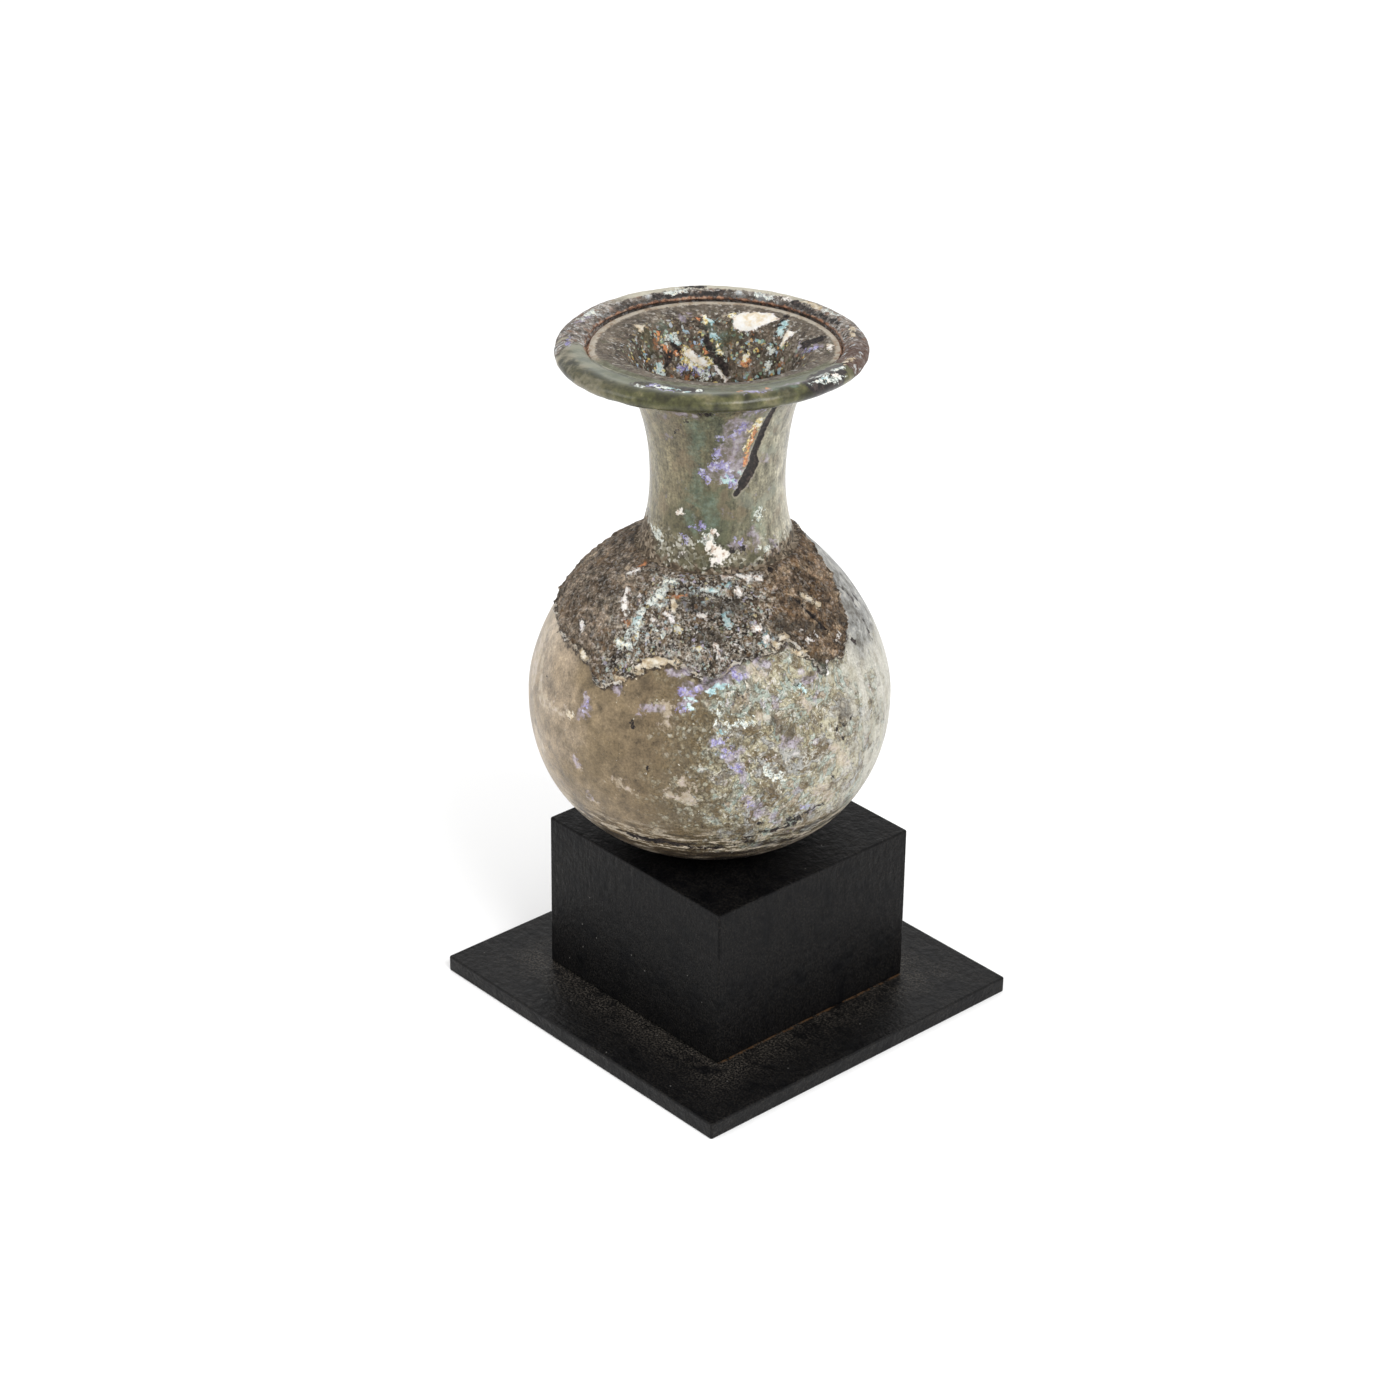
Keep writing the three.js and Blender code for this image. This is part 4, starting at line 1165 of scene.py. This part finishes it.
def rim_finish():
    """Glossy green glass in front and earthy crust behind, with flaking on its crest. Painted light and
    shade: a paler top face, a darker underside, a dark crevice behind and a pale backlit outer edge.
    """
    coat = Coat("rolled_rim_glass")
    right = coat.mark("rightness")
    front = coat.mark("frontness")
    radius = coat.mark("radius")
    height = coat.mark("height")
    cloud = coat.rough_noise(3.4, 0.56)
    around = coat.rough_noise(1.1, 0.66)
    glass = coat.ramp(cloud, [
        (0.36, 38, 37, 16), (0.44, 56, 55, 28), (0.52, 76, 76, 44), (0.6, 100, 97, 64),
        (0.68, 126, 118, 88)])
    glass = coat.shaded(glass, around, 22)
    leftward = coat.times(coat.step(right, -0.5, -0.85), coat.step(cloud, 0.4, 0.58))
    glass = coat.over(glass, (166, 156, 138), leftward, 0.6)
    # Paler on the top face inside the roll: painted reflection, with some flaking.
    pale_top_face = coat.times(coat.step(radius, 26.6, 24.4), coat.step(height, 96.0, 97.6))
    glass = coat.over(glass, (126, 132, 114), pale_top_face, 0.6)
    # Darker on the roll's lower side: painted shade together with crust.
    below = coat.step(height, 96.6, 95.4)
    glass = coat.over(glass, (54, 54, 34), below, 0.6)
    crumb = crumbled(coat, 0.5)[0]
    earth = coat.mottle(3.0, 0.68, [
        (0.36, 60, 52, 46), (0.45, 104, 94, 84), (0.54, 142, 131, 120), (0.64, 182, 172, 160)])
    crumbs = coat.ramp(crumb, [
        (0.0, 20, 18, 18), (0.3, 84, 76, 68), (0.6, 136, 127, 118), (0.88, 196, 192, 188),
        (1.0, 236, 236, 236)])
    soil = coat.over(earth, crumbs, 0.5)
    soil = coat.shaded(soil, around, 44)
    tinted = coat.spots(1.9, 0.74, 0.54, 0.58)
    soil = coat.over(soil, (160, 112, 78), tinted, 0.4)
    behind = coat.plus(front, coat.centred(cloud, 1.0))
    behind = coat.math('SUBTRACT', behind, coat.times(coat.math('MAXIMUM', right, 0.0), 0.4))
    earthy = coat.step(behind, 0.14, 0.04)
    edge_noise = coat.centred(around, 2.0)
    # Pale outer edge at the back: painted light coming through the thin glass.
    backlit_edge = coat.times(coat.step(coat.plus(radius, edge_noise), 24.5, 24.9),
        coat.step(front, -0.6, -0.85))
    rusty = coat.times(coat.step(right, 0.72, 0.9), coat.step(front, -0.2, 0.2))
    soil = coat.over(soil, (84, 52, 38), rusty, 0.7)
    coat.colour = coat.over(glass, soil, earthy)
    flake = coat.times(coat.spots(2.0, 0.76, 0.565, 0.585), earthy)
    flaking = coat.ramp(around, [
        (0.4, 132, 126, 120), (0.48, 202, 198, 192), (0.56, 188, 198, 204), (0.64, 240, 238, 232)])
    coat.lay(flaking, flake, 0.9)
    coat.lay((214, 208, 188), backlit_edge, 0.85)
    # Painted shadow in the crevice under the fold's edge, at the back.
    crevice_shadow = coat.times(coat.step(radius, 24.2, 23.2), coat.step(front, -0.2, -0.7))
    coat.lay((30, 26, 24), crevice_shadow, 0.7)
    seam = coat.step(coat.plus(radius, coat.times(edge_noise, 0.7)), 23.1, 22.7)
    seam = coat.times(seam, coat.step(front, 0.35, 0.1))
    rust = coat.mottle(1.7, 0.76, [
        (0.38, 34, 24, 20), (0.46, 110, 72, 50), (0.53, 196, 142, 108), (0.62, 222, 200, 176)])
    coat.lay(rust, seam, 0.8)
    sooted(coat)
    pearl_marks(coat)
    rough = coat.math('MULTIPLY_ADD', earthy, 0.34, 0.32)
    relief = coat.times(coat.plus(crumb, coat.times(around, 2.0)), earthy)
    normal = coat.raise_by(relief, 0.3, 0.9)
    normal = coat.raise_by(cloud, 0.4, 0.4, normal)
    return coat.settle(rough, normal, 0.4)


def mouth_finish():
    """Earthy brown lining with fibres of pale dirt and iridescent flakes, darkened down the throat by
    painted shade.
    """
    coat = Coat("earthy_mouth_lining")
    radius = coat.mark("radius")
    height = coat.mark("height")
    fibres = coat.rough_noise(1.0, 0.72, 1.2)
    crumb, crumb_colour = crumbled(coat, 0.5)
    earth = coat.mottle(3.4, 0.68, [
        (0.36, 42, 34, 26), (0.45, 80, 68, 55), (0.54, 110, 97, 81), (0.64, 146, 132, 114)])
    crumbs = coat.ramp(crumb, [
        (0.0, 12, 11, 10), (0.32, 66, 58, 50), (0.62, 108, 98, 86), (0.86, 156, 146, 132),
        (0.95, 214, 208, 198), (1.0, 250, 248, 242)])
    coat.colour = coat.over(earth, crumbs, 0.46)
    coat.shade(fibres, 46)
    pale = coat.step(fibres, 0.54, 0.6)
    coat.lay((166, 158, 148), pale, 0.45)
    deeper = coat.step(height, 97.0, 94.0)
    amber = coat.times(coat.spots(1.6, 0.76, 0.585, 0.6), deeper)
    coat.lay((176, 112, 66), amber, 0.6)
    sparkles = coat.ramp(crumb_colour, [
        (0.0, 206, 150, 80), (0.22, 232, 214, 130), (0.44, 140, 190, 180), (0.62, 176, 196, 226),
        (0.8, 112, 150, 96), (1.0, 222, 226, 236)])
    sparkle = coat.times(coat.step(crumb, 0.74, 0.76), coat.spots(3.0, 0.68, 0.47, 0.53))
    coat.lay(sparkles, sparkle, deeper, 0.85)
    olive = coat.times(coat.spots(2.3, 0.74, 0.4, 0.38), 0.4)
    coat.lay((92, 102, 68), olive)
    lip = coat.step(coat.plus(radius, coat.centred(fibres, 1.6)), 21.0, 21.5)
    lip_tones = coat.mottle(1.6, 0.7, [
        (0.38, 172, 138, 112), (0.46, 214, 198, 174), (0.56, 236, 226, 208)])
    coat.lay(lip_tones, lip, 0.85)
    front = coat.mark("frontness")
    green = coat.mottle(1.4, 0.6, [(0.38, 70, 74, 48), (0.5, 106, 112, 84), (0.62, 138, 142, 120)])
    in_front = coat.times(coat.step(radius, 20.2, 20.7), coat.step(front, 0.2, 0.45))
    coat.lay(green, in_front)
    below_lip = coat.step(radius, 17.4, 20.6)
    coat.lay((128, 118, 106), below_lip, 0.3)
    # Darker down the throat: painted shade inside the neck.
    deep = coat.step(height, 86.0, 66.0)
    coat.lay((44, 40, 32), deep, 0.7)
    pearl_marks(coat)
    pool = coat.ramp(coat.grain(2.0, 4.0, 0.6), [
        (0.38, 240, 222, 190), (0.5, 253, 248, 238), (0.62, 255, 254, 251)])
    coat.lay(pool, coat.patch("chalk", 1.6, 1.6, 0.14))
    sooted(coat)
    relief = coat.plus(coat.times(crumb, 0.5), coat.times(fibres, 1.6))
    normal = coat.raise_by(relief, 0.3, 0.8)
    rough = coat.between(fibres, 0.35, 0.65, 0.36, 0.7)
    return coat.settle(rough, normal, 0.2)


def black_paint(name, grain_scale, sheen, on_plate):
    """Satin black paint with brush grain, faint dust and a few light specks."""
    coat = Coat(name)
    brushed = coat.grain(0.8, 4.0, 0.6, 0.0, coat.stretched(coat.place, grain_scale))
    peel = coat.grain(1.5, 3.0, 0.5)
    paint = coat.ramp(brushed, [(0.3, 6, 6, 7), (0.7, 13, 13, 15)])
    powder = coat.step(coat.grain(0.4, 4.0, 0.75), 0.46, 0.62)
    dust = coat.times(coat.spots(5.0, 0.74, 0.36, 0.54), powder)
    coat.colour = paint
    coat.lay((98, 92, 84), dust, plate_dust(coat) if on_plate else BLOCK_DUST)
    ring, pick = coat.cells(2.0, coat.wandered(1.0, 0.4))[:2]
    specks = coat.times(coat.step(ring, 0.09, 0.05), coat.step(pick, 0.80, 0.82))
    coat.lay((120, 118, 114), specks, 0.8)
    if on_plate:
        glue_line(coat)
    rough = coat.between(peel, 0.3, 0.7, 0.34, 0.5)
    normal = coat.raise_by(brushed, 0.14, 0.8)
    normal = coat.raise_by(peel, 0.3, 0.6, normal)
    return coat.settle(rough, normal, sheen)


def plate_place(coat):
    """How far a spot on the plate lies from its middle lines, to the right and away."""
    split = coat.node("SeparateXYZ", {0: coat.place})
    return split.outputs["X"], split.outputs["Y"]


def plate_dust(coat):
    """Dust on the plate, more of it close to the block."""
    across, along = plate_place(coat)
    away = coat.math('MAXIMUM', coat.math('ABSOLUTE', across), coat.math('ABSOLUTE', along))
    near = coat.step(away, 34.0, 24.0)
    return coat.math('MULTIPLY_ADD', near, 0.6, 0.14)


def glue_line(coat):
    """A brown line of old glue along the block's foot, on its +X side."""
    across, along = plate_place(coat)
    across = coat.plus(across, coat.centred(coat.rough_noise(2.4, 0.7), 1.6))
    line = coat.times(coat.step(across, 24.5, 24.1), coat.step(across, 23.0, 23.4))
    beside = coat.step(coat.math('ABSOLUTE', along), 24.0, 23.0)
    broken = coat.spots(3.0, 0.7, 0.44, 0.54)
    coat.lay((104, 76, 50), line, beside, broken, 0.6)


def dress_stand():
    finishes = {
        "stand_block": black_paint("black_block_paint", (1.0, 1.0, 0.3), 0.09, False),
        "stand_plate": black_paint("black_plate_paint", (0.6, 1.0, 1.0), 0.14, True),
    }
    for node, material in finishes.items():
        bpy.data.objects[node].material_slots[0].material = material


def make_camera():
    data = bpy.data.cameras.new("camera")
    data.lens = LENS
    data.sensor_width = SENSOR_WIDTH
    camera = bpy.data.objects.new("camera", data)
    bpy.context.scene.collection.objects.link(camera)
    camera.matrix_world = (
        Matrix.Translation(CAMERA_PLACE)
        @ Matrix.Rotation(math.radians(CAMERA_TURN), 4, 'Z')
        @ Matrix.Rotation(math.radians(90.0 - CAMERA_DIP), 4, 'X')
        @ Matrix.Rotation(math.radians(CAMERA_ROLL), 4, 'Z')
    )
    data.clip_start = 0.01
    bpy.context.scene.camera = camera


def soft_light(name, place, size, power):
    data = bpy.data.lights.new(name, 'AREA')
    data.shape = 'DISK'
    data.size = size
    data.energy = power
    light = bpy.data.objects.new(name, data)
    bpy.context.scene.collection.objects.link(light)
    light.location = place
    light.rotation_euler = (Vector(LIGHT_AIM) - Vector(place)).to_track_quat('-Z', 'Y').to_euler()


def make_studio():
    scene = bpy.context.scene
    scene.view_settings.view_transform = 'Standard'
    world = bpy.data.worlds.new("studio")
    world.use_nodes = True
    backdrop = world.node_tree.nodes["Background"]
    backdrop.inputs["Color"].default_value = (1.0, 1.0, 1.0, 1.0)
    backdrop.inputs["Strength"].default_value = 1.0
    scene.world = world
    clear_selection()
    bpy.ops.mesh.primitive_plane_add(size=FLOOR_SIZE)
    floor = bpy.context.object
    floor.name = "floor"
    paper = Coat("white_paper")
    paper.colour = PAPER
    floor.data.materials.append(paper.settle(0.9))
    soft_light("key", (0.75, -0.15, 0.7), 0.5, 6.0)
    soft_light("fill", (-0.4, -0.8, 0.6), 0.6, 2.5)


make_camera()
make_studio()
make_bottle()
dress_stand()
